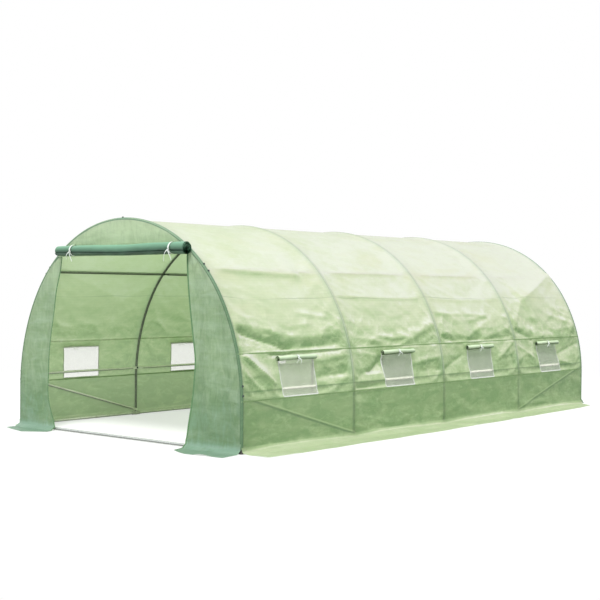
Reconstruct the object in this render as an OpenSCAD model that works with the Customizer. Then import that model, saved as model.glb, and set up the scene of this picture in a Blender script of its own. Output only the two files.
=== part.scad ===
// Walk-in polytunnel greenhouse: tube hoops, purlins and braces under a sewn sheet cover,
// with a rolled-up front door, screened side windows and a skirt along the ground.
// Millimetres, Z up, front end towards -Y, origin on the ground at the middle.

/* [Tunnel] */
// Width over the hoops
tunnel_w = 3000; // [2700:10:3300]
// Length over the end hoops
tunnel_l = 6000; // [5000:10:7000]
// Height over the hoops
tunnel_h = 2000; // [1900:10:2300]
// Number of bays between the hoops
bays = 4; // [3:1:5]

/* [Frame tubes] */
// Diameter of every frame tube
tube_d = 25; // [20:0.5:30]
// Height of the straight part of a hoop leg
leg_h = 400; // [300:10:420]
// Angle of the bend above each leg, in degrees
haunch_angle = 30; // [22:1:38]
// Angle of the arc of the crown tube, in degrees
crown_angle = 54; // [30:1:80]
// Height of the lower purlins
lower_purlin_h = 510; // [440:5:600]
// Angle of the upper purlins round the crown, in degrees
upper_purlin_angle = 43; // [40:1:60]

/* [Bolted ends] */
// Thickness of the flattened tube ends
tongue_t = 2.4; // [1.6:0.1:4]
// Length of the flat from the bolt to the taper
tongue_l = 32; // [25:1:60]
// Length of the taper between flat and round tube
taper_l = 40; // [25:1:70]
// Distance of the brace bolts below the lower purlins
brace_drop_h = 30; // [28:1:60]
// Distance of the lower brace bolts above the feet
brace_rise_h = 15; // [14:1:60]

/* [Feet] */
// Height of the leg sockets
foot_h = 40; // [36:1:50]
// Wall of the sockets
foot_wall_t = 4.5; // [2:0.5:6]
// Reach of the rail sockets from the leg
foot_reach_l = 50; // [40:1:90]
// Thickness of the base under the leg
foot_base_t = 4; // [2:0.5:8]

/* [Cover] */
// Thickness of the sheet
cover_t = 3; // [2:0.25:4]
// Height at which the skirt leaves the wall
skirt_rise_h = 60; // [56:1:120]
// Reach of the sloping part of the skirt
skirt_slope_w = 90; // [60:1:160]
// Reach of the whole skirt from the wall
skirt_w = 300; // [200:5:400]
// Height of the seam below the windows
seam_h = 432; // [410:1:500]
// Share of the haunch arc below the seam above the windows
band_share = 0.47; // [0.4:0.01:0.7]

/* [Windows] */
// Width of each window
window_w = 460; // [300:5:600]
// Share of the window band below each window
sill_share = 0.03; // [0.02:0.01:0.2]
// Share of the window band below the head of each window
head_share = 0.85; // [0.6:0.01:0.95]
// Diameter of each rolled window flap
window_roll_d = 52; // [40:1:70]
// Length of each rolled window flap
window_roll_l = 500; // [300:5:620]
// Turns in each rolled window flap
window_turns = 2.6; // [1.6:0.1:3]

/* [Door] */
// Width of the doorway
door_w = 1760; // [1200:10:1800]
// Drop of the doorway's head below the crown
door_drop_h = 340; // [300:10:500]
// Diameter of the rolled door
door_roll_d = 105; // [80:1:120]
// Distance of each end of the rolled door inside the doorway
door_roll_in_w = 10; // [0:1:200]
// Turns in the rolled door
door_turns = 4.6; // [2:0.1:5]
// Distance of each door tie inside the doorway
door_tie_in_w = 240; // [180:5:400]

/* [Ties and fits] */
// Width of the tie tapes
tie_w = 22; // [10:1:40]
// Thickness of the tie tapes
tie_t = 1.5; // [1:0.1:3]
// Clearance between neighbouring pieces
fit_gap = 0.3; // [0.2:0.05:0.6]

/* [Hidden] */
$fn = 72;
arc_steps = 720;
tube_steps = 48;
end_steps = 40;
tube_r = tube_d / 2;
half_w = tunnel_w / 2;
half_l = tunnel_l / 2;
door_h = tunnel_h - door_drop_h;
door_roll_l = door_w - 2 * door_roll_in_w;
door_tie_w = door_w / 2 - door_tie_in_w;
// Three-centred arch: a haunch arc on each leg and one crown arc between them
haunch_less_crown = (tunnel_h - leg_h - half_w) / (sin(haunch_angle) + cos(haunch_angle) - 1);
haunch_r = half_w + haunch_less_crown * cos(haunch_angle);
haunch_x = half_w - haunch_r;
crown_r = haunch_r - haunch_less_crown;
crown_z = leg_h + haunch_less_crown * sin(haunch_angle);
// Overrun of every cutting shape
over = tunnel_w + tunnel_h;
cover_o = fit_gap + cover_t;
bay = (tunnel_l - tube_d) / bays;
hoop_ys = [for (k = [0 : bays]) tube_r - half_l + k * bay];
bay_ys = [for (k = [0 : bays - 1]) tube_r - half_l + (k + 0.5) * bay];
leg_x = half_w - tube_r;
bore_r = tube_r + fit_gap;
foot_r = bore_r + foot_wall_t;
rail_end = foot_r + fit_gap;
lower_purlin_deg = asin((lower_purlin_h - leg_h) / haunch_r);
brace_top_h = lower_purlin_h - brace_drop_h;
brace_top_deg = asin((brace_top_h - leg_h) / haunch_r);
brace_foot_h = foot_h + brace_rise_h;
inner_step = tube_d + fit_gap + tongue_t;
seam_deg = asin((seam_h - leg_h) / haunch_r);
band_deg = haunch_angle * band_share;
sill_deg = seam_deg + (band_deg - seam_deg) * sill_share;
head_deg = seam_deg + (band_deg - seam_deg) * head_share;
window_sill_h = leg_h + haunch_r * sin(sill_deg);
window_h = leg_h + haunch_r * sin(head_deg) - window_sill_h;
core_share = 0.3;
turn_steps = 20;

// Pull a flat outline, drawn across the tunnel, from one length station to another
module along(y0, y1) {
  translate([0, y1, 0])
    rotate([90, 0, 0])
      linear_extrude(y1 - y0)
        children();
}

module left() {
  mirror([1, 0, 0])
    children();
}

// Set a piece on an arc with its X axis pointing outwards
module on_arc(x, z, r, deg) {
  translate([x, 0, z])
    rotate([0, -deg, 0])
      translate([r, 0, 0])
        children();
}

// Arch outlines

module wedge(a0, a1) {
  mid = (a0 + a1) / 2;
  polygon([
    [0, 0],
    [over * cos(a0), over * sin(a0)],
    [over * cos(mid), over * sin(mid)],
    [over * cos(a1), over * sin(a1)]
  ]);
}

// Band between the inner and outer faces of the sheet, round one arc centre
module sheet_band(x, z, r, a0, a1) {
  translate([x, z])
    intersection() {
      difference() {
        circle(r + cover_o, $fn = arc_steps);
        circle(r + fit_gap, $fn = arc_steps);
      }
      wedge(a0, a1);
    }
}

function arc_points(x, z, r, a0, a1) = [
  for (i = [0 : end_steps])
    [x, z] + r * [cos(a0 + (a1 - a0) * i / end_steps), sin(a0 + (a1 - a0) * i / end_steps)]
];

// Whole arch as one outline, from the right foot over the crown to the left foot
module arch_face(out) {
  polygon(concat(
    [[-half_w - out, 0], [half_w + out, 0]],
    arc_points(haunch_x, leg_h, haunch_r + out, 0, haunch_angle),
    arc_points(0, crown_z, crown_r + out, haunch_angle, 180 - haunch_angle),
    arc_points(-haunch_x, leg_h, haunch_r + out, 180 - haunch_angle, 180)
  ));
}

module arch_part(x0, x1, z0, z1) {
  intersection() {
    arch_face(cover_o);
    translate([x0, z0])
      square([x1 - x0, z1 - z0]);
  }
}

// Frame of tubes

module arc_tube(r, a0, a1) {
  rotate([90, 0, 0])
    rotate([0, 0, a0])
      rotate_extrude(angle = a1 - a0, $fn = arc_steps)
        translate([r - tube_r, 0])
          circle(d = tube_d, $fn = tube_steps);
}

module hoop_side() {
  joint_deg = fit_gap / crown_r * 180 / PI;
  translate([leg_x, 0, foot_base_t])
    cylinder(h = leg_h - foot_base_t, d = tube_d);
  translate([haunch_x, 0, leg_h])
    arc_tube(haunch_r, 0, haunch_angle);
  translate([0, 0, crown_z])
    arc_tube(crown_r, haunch_angle + joint_deg, 90 - crown_angle / 2 - joint_deg);
}

module hoop(k) {
  color("#aab0ad")
    translate([0, hoop_ys[k], 0]) {
      hoop_side();
      left()
        hoop_side();
      translate([0, 0, crown_z])
        arc_tube(crown_r, 90 - crown_angle / 2, 90 + crown_angle / 2);
    }
}

module front_hoop() hoop(0);
module second_hoop() hoop(1);
module middle_hoop() {
  for (k = [2 : bays - 2])
    hoop(k);
}
module fourth_hoop() hoop(bays - 1);
module back_hoop() hoop(bays);

// Flattened tube end with its bolt point at the origin and the tube towards +Y
module flat_end(lo, hi) {
  translate([lo, 0, 0])
    rotate([90, 0, 90])
      linear_extrude(hi - lo) {
        circle(d = tube_d);
        translate([0, -tube_r])
          square([tongue_l, tube_d]);
      }
  translate([0, tongue_l, -tube_d])
    intersection() {
      translate([0, 0, tube_d])
        rotate([-90, 0, 0])
          cylinder(h = taper_l, d = tube_d);
      linear_extrude(2 * tube_d)
        polygon([[lo, 0], [hi, 0], [tube_r, taper_l], [-tube_r, taper_l]]);
    }
}

// Bolted tube from bolt point to bolt point along +Y
module bolted_tube(l, near_lo, near_hi, far_lo, far_hi) {
  flat_end(near_lo, near_hi);
  translate([0, l, 0])
    mirror([0, 1, 0])
      flat_end(far_lo, far_hi);
  translate([0, tongue_l + taper_l, 0])
    rotate([-90, 0, 0])
      cylinder(h = l - 2 * (tongue_l + taper_l), d = tube_d);
}

module purlin() {
  color("#b4bab8")
    for (k = [0 : bays - 1])
      translate([0, hoop_ys[k], 0])
        if (k == bays - 1)
          bolted_tube(bay, fit_gap, tongue_t, fit_gap, tongue_t);
        else
          bolted_tube(bay, fit_gap, tongue_t, -tongue_t, 0);
}

module upper_purlin() {
  on_arc(0, crown_z, crown_r - inner_step, upper_purlin_angle)
    purlin();
}

module lower_purlin() {
  on_arc(haunch_x, leg_h, haunch_r - inner_step, lower_purlin_deg)
    purlin();
}

module ridge_purlin() {
  on_arc(0, crown_z, crown_r - inner_step, 90)
    purlin();
}

module right_upper_purlin() upper_purlin();
module left_upper_purlin() left() upper_purlin();
module right_lower_purlin() lower_purlin();
module left_lower_purlin() left() lower_purlin();

// Brace from the foot of the last inner hoop up to the end hoop
module brace() {
  foot_x = half_w - inner_step;
  top_x = haunch_x + (haunch_r - inner_step) * cos(brace_top_deg);
  top_z = leg_h + (haunch_r - inner_step) * sin(brace_top_deg);
  run = norm([top_x - foot_x, bay]);
  color("#b4bab8")
    translate([foot_x, hoop_ys[bays - 1], brace_foot_h])
      rotate([0, 0, -atan2(top_x - foot_x, bay)])
        rotate([atan2(top_z - brace_foot_h, run), 0, 0])
          bolted_tube(norm([run, top_z - brace_foot_h]), fit_gap, tongue_t, fit_gap, tongue_t);
}

module back_right_brace() brace();
module back_left_brace() left() brace();
module front_right_brace() mirror([0, 1, 0]) brace();
module front_left_brace() left() mirror([0, 1, 0]) brace();

module side_rail() {
  color("#aab0ad")
    for (k = [0 : bays - 1])
      translate([leg_x, hoop_ys[k] + rail_end, foot_r])
        rotate([-90, 0, 0])
          cylinder(h = bay - 2 * rail_end, d = tube_d);
}

module end_rail(y) {
  color("#aab0ad")
    translate([rail_end - leg_x, y, foot_r])
      rotate([0, 90, 0])
        cylinder(h = 2 * (leg_x - rail_end), d = tube_d);
}

module right_base_rail() side_rail();
module left_base_rail() left() side_rail();
module front_base_rail() end_rail(hoop_ys[0]);
module back_base_rail() end_rail(hoop_ys[bays]);

// Moulded socket foot; turns lists the plan angles of its rail sockets
module foot(turns) {
  difference() {
    union() {
      cylinder(h = foot_h, r = foot_r);
      for (a = turns)
        translate([0, 0, foot_r])
          rotate([0, 0, a])
            rotate([0, 90, 0])
              cylinder(h = foot_reach_l, r = foot_r);
    }
    translate([0, 0, foot_base_t])
      cylinder(h = over, r = bore_r);
    for (a = turns)
      translate([0, 0, foot_r])
        rotate([0, 0, a])
          translate([foot_r, 0, 0])
            rotate([0, 90, 0])
              cylinder(h = over, r = bore_r);
  }
}

module side_feet() {
  color("#25282a")
    for (k = [0 : bays])
      translate([leg_x, hoop_ys[k], 0])
        if (k == 0)
          foot([90, 180]);
        else if (k == bays)
          foot([-90, 180]);
        else
          foot([-90, 90]);
}

module right_feet() side_feet();
module left_feet() left() side_feet();

// Sheet cover over the hoops, in sewn strips

module cover_strip() {
  color("#9fc08a")
    along(-half_l, half_l)
      children();
}

module lower_cover() {
  cover_strip() {
    translate([half_w + fit_gap, skirt_rise_h])
      square([cover_t, leg_h - skirt_rise_h]);
    sheet_band(haunch_x, leg_h, haunch_r, 0, seam_deg);
  }
}

module window_strip() {
  cover_strip()
    sheet_band(haunch_x, leg_h, haunch_r, seam_deg, band_deg);
}

module haunch_cover() {
  cover_strip()
    sheet_band(haunch_x, leg_h, haunch_r, band_deg, haunch_angle);
}

module roof_cover() {
  cover_strip()
    sheet_band(0, crown_z, crown_r, haunch_angle, 90);
}

module window_holes(less) {
  for (y = bay_ys)
    translate([0, y - window_w / 2 + less, window_sill_h + less])
      cube([over, window_w - 2 * less, window_h - 2 * less]);
}

module window_band() {
  difference() {
    window_strip();
    window_holes(0);
  }
}

module screens() {
  color("#c6ccc4")
    intersection() {
      window_strip();
      window_holes(fit_gap);
    }
}

module right_lower_cover() lower_cover();
module left_lower_cover() left() lower_cover();
module right_window_band() window_band();
module left_window_band() left() window_band();
module right_haunch_cover() haunch_cover();
module left_haunch_cover() left() haunch_cover();
module right_roof_cover() roof_cover();
module left_roof_cover() left() roof_cover();
module right_window_screens() screens();
module left_window_screens() left() screens();

// End panels

module front_panel() {
  color("#93b58f")
    along(-half_l - cover_o, -half_l - fit_gap)
      children();
}

module front_right_wing() {
  front_panel()
    arch_part(door_w / 2, over, skirt_rise_h, door_h);
}

module front_left_wing() left() front_right_wing();

module front_gable() {
  front_panel()
    arch_part(-over, over, door_h, over);
}

module back_wall() {
  color("#93b58f")
    along(half_l + fit_gap, half_l + cover_o)
      arch_part(-over, over, skirt_rise_h, over);
}

// Skirt that slopes off the wall and lies on the ground, drawn outwards from the wall's inner face
module skirt_face() {
  polygon([
    [0, skirt_rise_h],
    [cover_t, skirt_rise_h],
    [cover_t + skirt_slope_w, cover_t],
    [cover_t + skirt_w, cover_t],
    [cover_t + skirt_w, 0],
    [skirt_slope_w, 0],
    [0, skirt_rise_h - cover_t]
  ]);
}

module skirt(wall, a0, a1) {
  color("#8fb083")
    along(a0, a1)
      translate([wall + fit_gap, 0])
        skirt_face();
}

module right_skirt() skirt(half_w, -half_l, half_l);
module left_skirt() left() right_skirt();
module front_right_skirt() rotate([0, 0, -90]) skirt(half_l, door_w / 2, half_w + cover_o);
module front_left_skirt() left() front_right_skirt();
module back_skirt() rotate([0, 0, 90]) skirt(half_l, -half_w - cover_o, half_w + cover_o);

// Rolled flaps and their ties

module roll_face(d, turns) {
  steps = ceil(turns * turn_steps);
  grow = d / 2 * (1 - core_share) / steps;
  outer = [
    for (i = [0 : steps])
      (d / 2 * core_share + grow * i) * [cos(360 * turns * i / steps), sin(360 * turns * i / steps)]
  ];
  inner = [
    for (i = [steps : -1 : 0])
      (d / 2 * core_share + grow * i - cover_t)
        * [cos(360 * turns * i / steps), sin(360 * turns * i / steps)]
  ];
  polygon(concat(outer, inner));
}

module tie_face(d) {
  difference() {
    circle(d / 2 + fit_gap + tie_t);
    circle(d / 2 + fit_gap);
  }
}

module window_flaps() {
  roll_out = haunch_r + cover_o + 2 * fit_gap + tie_t + window_roll_d / 2;
  on_arc(haunch_x, leg_h, roll_out, head_deg)
    for (y = bay_ys)
      translate([0, y, 0])
        children();
}

module window_rolls() {
  color("#7fa277")
    window_flaps()
      along(-window_roll_l / 2, window_roll_l / 2)
        roll_face(window_roll_d, window_turns);
}

module window_ties() {
  window_flaps()
    along(-tie_w / 2, tie_w / 2)
      tie_face(window_roll_d);
}

module at_door_roll() {
  translate([0, -half_l - cover_o - 2 * fit_gap - tie_t - door_roll_d / 2, door_h + door_roll_d / 2])
    rotate([0, 0, -90])
      children();
}

module door_roll() {
  color("#4f7f63")
    at_door_roll()
      along(-door_roll_l / 2, door_roll_l / 2)
        roll_face(door_roll_d, door_turns);
}

module roll_ties() {
  color("#eef0ee") {
    at_door_roll()
      for (x = [-door_tie_w, door_tie_w])
        along(x - tie_w / 2, x + tie_w / 2)
          tie_face(door_roll_d);
    window_ties();
    left()
      window_ties();
  }
}

module right_window_rolls() window_rolls();
module left_window_rolls() left() window_rolls();

front_hoop();
second_hoop();
middle_hoop();
fourth_hoop();
back_hoop();
ridge_purlin();
left_upper_purlin();
right_upper_purlin();
left_lower_purlin();
right_lower_purlin();
left_base_rail();
right_base_rail();
front_base_rail();
back_base_rail();
front_left_brace();
front_right_brace();
back_left_brace();
back_right_brace();
left_feet();
right_feet();
left_lower_cover();
right_lower_cover();
left_window_band();
right_window_band();
left_haunch_cover();
right_haunch_cover();
left_roof_cover();
right_roof_cover();
front_left_wing();
front_right_wing();
front_gable();
back_wall();
left_skirt();
right_skirt();
front_left_skirt();
front_right_skirt();
back_skirt();
left_window_screens();
right_window_screens();
left_window_rolls();
right_window_rolls();
door_roll();
roll_ties();
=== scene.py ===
import bpy
import math
import numpy as np
from mathutils import Matrix, Vector


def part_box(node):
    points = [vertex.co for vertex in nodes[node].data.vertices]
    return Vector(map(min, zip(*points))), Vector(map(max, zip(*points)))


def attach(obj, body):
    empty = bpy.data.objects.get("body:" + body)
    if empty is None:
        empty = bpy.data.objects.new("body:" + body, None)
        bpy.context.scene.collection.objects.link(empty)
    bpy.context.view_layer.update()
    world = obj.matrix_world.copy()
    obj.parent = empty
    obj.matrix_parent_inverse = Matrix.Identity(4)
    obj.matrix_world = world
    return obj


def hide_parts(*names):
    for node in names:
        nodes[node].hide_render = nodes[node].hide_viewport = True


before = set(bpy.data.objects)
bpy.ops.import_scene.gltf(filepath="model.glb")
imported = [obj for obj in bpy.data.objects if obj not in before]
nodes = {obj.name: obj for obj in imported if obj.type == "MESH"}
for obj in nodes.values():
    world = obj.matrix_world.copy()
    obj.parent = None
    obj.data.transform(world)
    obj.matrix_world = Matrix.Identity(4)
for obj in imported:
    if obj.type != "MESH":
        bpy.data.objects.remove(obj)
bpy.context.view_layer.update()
scene = bpy.context.scene
print("frame loaded with", len(nodes), "nodes")


# node trees, with sums written as plain expressions

class Val:
    def __init__(self, tree, socket):
        self.tree, self.socket = tree, socket

    def maths(self, operation, *rest):
        return self.tree.maths(operation, self, *rest)

    def __add__(self, b):
        return self.maths("ADD", b)

    def __sub__(self, b):
        return self.maths("SUBTRACT", b)

    def __rsub__(self, a):
        return self.tree.maths("SUBTRACT", a, self)

    def __mul__(self, b):
        return self.maths("MULTIPLY", b)

    def __truediv__(self, b):
        return self.maths("DIVIDE", b)

    def __abs__(self):
        return self.maths("ABSOLUTE")

    __radd__, __rmul__ = __add__, __mul__


class Tree:
    def __init__(self, nodeTree):
        self.nodeTree = nodeTree

    def node(self, kind, sockets=None, out=0, **settings):
        made = self.nodeTree.nodes.new(kind)
        for key, value in settings.items():
            if key == "stops":  # a ramp's places and colours, in rising order
                ramp = made.color_ramp
                ramp.elements.remove(ramp.elements[1])
                ramp.elements[0].position, ramp.elements[0].color = value[0][0], (*value[0][1], 1.0)
                for place, colour in value[1:]:
                    ramp.elements.new(place).color = (*colour, 1.0)
            else:
                setattr(made, key, value)
        for key, value in (sockets or {}).items():
            socket = made.inputs[key]
            if isinstance(value, Val):
                self.nodeTree.links.new(value.socket, socket)
            elif socket.type == "RGBA" and len(value) == 3:
                socket.default_value = (*value, 1.0)
            else:
                socket.default_value = value
        return Val(self, made.outputs[out]) if len(made.outputs) > out else None

    def maths(self, operation, *values):
        return self.node("ShaderNodeMath", dict(enumerate(values)), operation=operation)

    def flat(self):  # the piece's own UV map, in metres
        return self.node("ShaderNodeUVMap", uv_map="UVMap")

    def solid(self):  # places in the object
        return self.node("ShaderNodeTexCoord", None, 3)

    def sky(self):  # the painted-light share stored on each point: high where it is painted as lit, low where it is painted as shaded
        return self.node("ShaderNodeAttribute", None, 2, attribute_name="sky")

    def split(self, vector):
        made = self.node("ShaderNodeSeparateXYZ", {0: vector}).socket.node
        return [Val(self, socket) for socket in made.outputs]

    def noise(self, place, scale, detail=2.0, rough=0.5, twist=0.0, out=0):
        return self.node("ShaderNodeTexNoise", {"Vector": place, "Scale": scale, "Detail": detail,
                                                "Roughness": rough, "Distortion": twist}, out)

    def cells(self, place, scale, out=0):
        return self.node("ShaderNodeTexVoronoi", {"Vector": place, "Scale": scale}, out, feature="F1")

    def stretched(self, place, scale, turn=0.0):
        return self.node("ShaderNodeMapping", {"Vector": place, "Scale": scale, "Rotation": (0.0, 0.0, turn)})

    def spread(self, value, low, high, toLow=0.0, toHigh=1.0):
        return self.node("ShaderNodeMapRange", {0: value, 1: low, 2: high, 3: toLow, 4: toHigh}, clamp=True)

    def near(self, value, low, high, top=1.0):  # most where the value is close to nothing
        return self.spread(abs(value), low, high, top, 0.0)

    def blend(self, share, first, second):
        return self.node("ShaderNodeMix", {0: share, 6: first, 7: second}, 2, data_type="RGBA")

    def bump(self, strength, distance, height):
        return self.node("ShaderNodeBump", {"Strength": strength, "Distance": distance, "Height": height})

    def face(self, **sockets):
        names = {"colour": "Base Color", "rough": "Roughness", "normal": "Normal", "metal": "Metallic",
                 "ior": "IOR", "shine": "Specular IOR Level"}
        return self.node("ShaderNodeBsdfPrincipled", {names[key]: value for key, value in sockets.items()})

    def mixed(self, share, first, second):
        return self.node("ShaderNodeMixShader", {0: share, 1: first, 2: second})

    def close(self, surface):
        self.node("ShaderNodeOutputMaterial", {0: surface})


def tint(r, g, b):  # a colour as a screen shows it, 0 to 255
    return tuple(((c / 255 + 0.055) / 1.055) ** 2.4 for c in (r, g, b))


def newFinish(name):
    made = bpy.data.materials.new(name)
    made.use_nodes = True
    made.node_tree.nodes.clear()
    return made, Tree(made.node_tree)


# the arch that everything follows

tunnel = {"width": 3.0, "length": 6.0, "height": 2.0, "bays": 4, "tube": 0.025, "leg": 0.40, "haunch": 30.0,
          "lowerPurlin": 0.51, "upperPurlin": 43.0, "fold": 0.06, "seam": 0.432, "bandShare": 0.47,
          "windowWide": 0.46, "sillShare": 0.03, "headShare": 0.85, "doorHigh": 1.66, "sheetOut": 0.0018,
          "endOut": 0.002, "edgeIn": 0.004, "crownIn": 0.006}
brace = {"x": 1.4715, "foot": (1.49375, 0.055), "top": (2.9875, 0.4785)}  # along and up

halfWide, endY = tunnel["width"] / 2, tunnel["length"] / 2
haunchTurn = math.radians(tunnel["haunch"])
lessRadius = (tunnel["height"] - tunnel["leg"] - halfWide) / (math.sin(haunchTurn) + math.cos(haunchTurn) - 1)
haunchR = halfWide + lessRadius * math.cos(haunchTurn)
haunchX = halfWide - haunchR
crownR = haunchR - lessRadius
crownZ = tunnel["leg"] + lessRadius * math.sin(haunchTurn)
haunchS = tunnel["leg"] + haunchR * haunchTurn
ridgeS = haunchS + crownR * (math.pi / 2 - haunchTurn)
hoopY = np.linspace(-1, 1, tunnel["bays"] + 1) * (tunnel["length"] - tunnel["tube"]) / 2
bayLong = hoopY[1] - hoopY[0]
bayMiddle = (hoopY[:-1] + hoopY[1:]) / 2


def arch(s, out=0.0):
    # x, z and the outward way at a length s up the right side and over to the left
    s = np.asarray(s, float)
    left = s > ridgeS
    q = np.where(left, 2 * ridgeS - s, s)
    low, mid = q < tunnel["leg"], q < haunchS
    a = np.where(low, 0.0, np.where(mid, (q - tunnel["leg"]) / haunchR, haunchTurn + (q - haunchS) / crownR))
    nx, nz = np.cos(a), np.sin(a)
    x = np.where(low, halfWide, np.where(mid, haunchX + haunchR * nx, crownR * nx)) + nx * out
    z = np.where(low, q, np.where(mid, tunnel["leg"] + haunchR * nz, crownZ + crownR * nz)) + nz * out
    flip = np.where(left, -1.0, 1.0)
    return x * flip, z, nx * flip, nz


def archWidth(z):  # half the arch's width at a height
    z = np.asarray(z, float)
    mid = np.sqrt(np.maximum(haunchR ** 2 - (z - tunnel["leg"]) ** 2, 0)) + haunchX
    top = np.sqrt(np.maximum(crownR ** 2 - (z - crownZ) ** 2, 0))
    crownLow = crownZ + crownR * math.sin(haunchTurn)
    return np.where(z < tunnel["leg"], halfWide, np.where(z < crownLow, mid, top))


def haunchAt(z):  # length up the side at a height on the haunch
    return tunnel["leg"] + haunchR * math.asin((z - tunnel["leg"]) / haunchR)


seamS, lowerS = haunchAt(tunnel["seam"]), haunchAt(tunnel["lowerPurlin"])
bandS = tunnel["leg"] + (haunchS - tunnel["leg"]) * tunnel["bandShare"]
sillS, headS = (seamS + (bandS - seamS) * tunnel[key] for key in ("sillShare", "headShare"))
upperS = haunchS + crownR * math.radians(tunnel["upperPurlin"] - tunnel["haunch"])
purlinAt = (lowerS, upperS, ridgeS, 2 * ridgeS - upperS, 2 * ridgeS - lowerS)
seamAt = (seamS, bandS, 2 * ridgeS - bandS, 2 * ridgeS - seamS)
braceLong = math.dist(brace["foot"], brace["top"])
braceWay = np.subtract(brace["top"], brace["foot"]) / braceLong


# finishes

weave = {"thread": 0.0105, "ribShare": 0.16, "cordEvery": 3.0, "cordShare": 0.07, "bump": 0.32, "deep": 0.012}
# pale is the ramp that the painted light climbs, up to near white on the lit roof
coverLook = {"wall": tint(127, 157, 111), "worn": tint(226, 232, 190), "thin": 0.50,
             "pale": [(0.4, tint(192, 213, 166)), (0.8, tint(238, 243, 214)), (1.0, tint(255, 255, 244))],
             "glow": (tint(174, 197, 155), tint(150, 178, 131)), "yellow": tint(246, 244, 212)}
# painted light on the end sheets: paler higher up and darker low down where shade falls; hem is the paler
# colour painted on the hem lying on the ground, which faces up
endLook = {"wall": tint(116, 145, 108), "worn": tint(202, 224, 208), "thin": 0.40, "hem": tint(146, 180, 158),
           "pale": [(1.0, tint(206, 226, 188))],
           "paintedLightAt": [0.04, 0.08, 0.30, 0.45, 0.75, 1.30, 1.95],  # painted light: how pale, by height
           "paintedLight": [0.0, 0.28, 0.28, 0.38, 0.49, 0.55, 1.0]}
# for the door and window rolls, wall is the painted shade on the underside and pale the painted light on top
doorLook = {"wall": tint(30, 64, 44), "worn": tint(116, 160, 134), "thin": 0.06,
            "pale": [(1.0, tint(122, 170, 140))]}
rollLook = {"wall": tint(66, 98, 58), "worn": tint(226, 232, 190), "thin": 0.06,
            "pale": [(1.0, tint(206, 226, 192))]}
# the painted frame shading: dark is the painted shadow of the tubes, ridge and tube are painted highlights,
# shade is the painted shade band in front of the hoops
paintedFrameLook = {"dark": tint(92, 122, 96), "ridge": tint(186, 206, 160), "shade": tint(148, 188, 160),
               "tube": tint(206, 226, 212), "rail": 0.5, "braceUnder": 0.60, "braceOver": 0.80,
               "hoopFront": 0.62, "hoopBack": 0.30, "hoopEdge": 0.012, "foldShadeAt": 1.342}


def lowScuffs(t, uv, up):
    # rubbed patches on the low wall
    scuff = t.noise(t.stretched(uv, (1.0, 0.4, 1.0), 0.25), 14.0, 5.0, 0.66, 1.0)
    low = t.spread(up, 0.38, 0.46, 1.0, 0.0) * t.spread(up, 0.0, 0.02)
    return (t.spread(scuff, 0.50, 0.72) * 0.26 - 0.03) * low


def crushedBand(t, uv, up):
    # crushed cloth about the windows, with the angular facets that stiff sheet creases into; its first result
    # is painted light and shade on those facets
    zone = t.spread(up, 0.40, 0.50, 0.4, 1.0) * t.spread(up, 0.90, 1.25, 1.0, 0.3)
    crush = t.noise(t.stretched(uv, (1.0, 0.6, 1.0), -0.5), 17.0, 4.0, 0.62, 1.4)
    bent = t.node("ShaderNodeVectorMath", {0: t.noise(uv, 5.0, out=1), 1: (0.10, 0.14, 0.0), 2: uv},
                  operation="MULTIPLY_ADD")
    facet = t.cells(t.stretched(bent, (1.0, 0.55, 1.0), -0.4), 13.0)
    small = t.cells(t.stretched(bent, (1.0, 0.7, 1.0), 0.5), 31.0)
    folded = facet * 0.7 + small * 0.3
    # painted light and shade that follows the facets of the bump
    pale = (crush - 0.5) * 0.7 + (folded - 0.40) * 0.42 - t.near(crush - 0.5, 0.0, 0.05) * 0.10
    return pale * zone, (crush * 0.7 + folded * 1.1) * zone


def hoopPulls(t, up, along, hoop):
    # pull lines that fan out from where the seam over the windows meets each hoop; its first result is
    # painted light and shade along them, with painted shade on the sharp creases
    rise = up - bandS
    reach = (hoop * hoop + rise * rise).maths("SQRT")
    angle = rise.maths("ARCTAN2", hoop + 0.02)
    fan = t.node("ShaderNodeCombineXYZ", {0: angle * 5.5, 1: reach * 2.0, 2: (along * 1.31).maths("FLOOR")})
    pull = t.noise(fan, 2.2, 2.0, 0.55, 0.5)
    sharp = t.near(pull - 0.5, 0.0, 0.05) * t.spread(reach, 0.06, 0.50, 1.0, 0.0)
    sharp = sharp * t.spread(reach, 0.01, 0.05)
    pale = (pull - 0.5) * 0.5 * t.spread(reach, 0.1, 0.5, 1.0, 0.0) - sharp * 0.12
    return pale, (pull * 0.9 + sharp * 0.35) * t.spread(reach, 0.1, 0.55, 1.0, 0.0)


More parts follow.
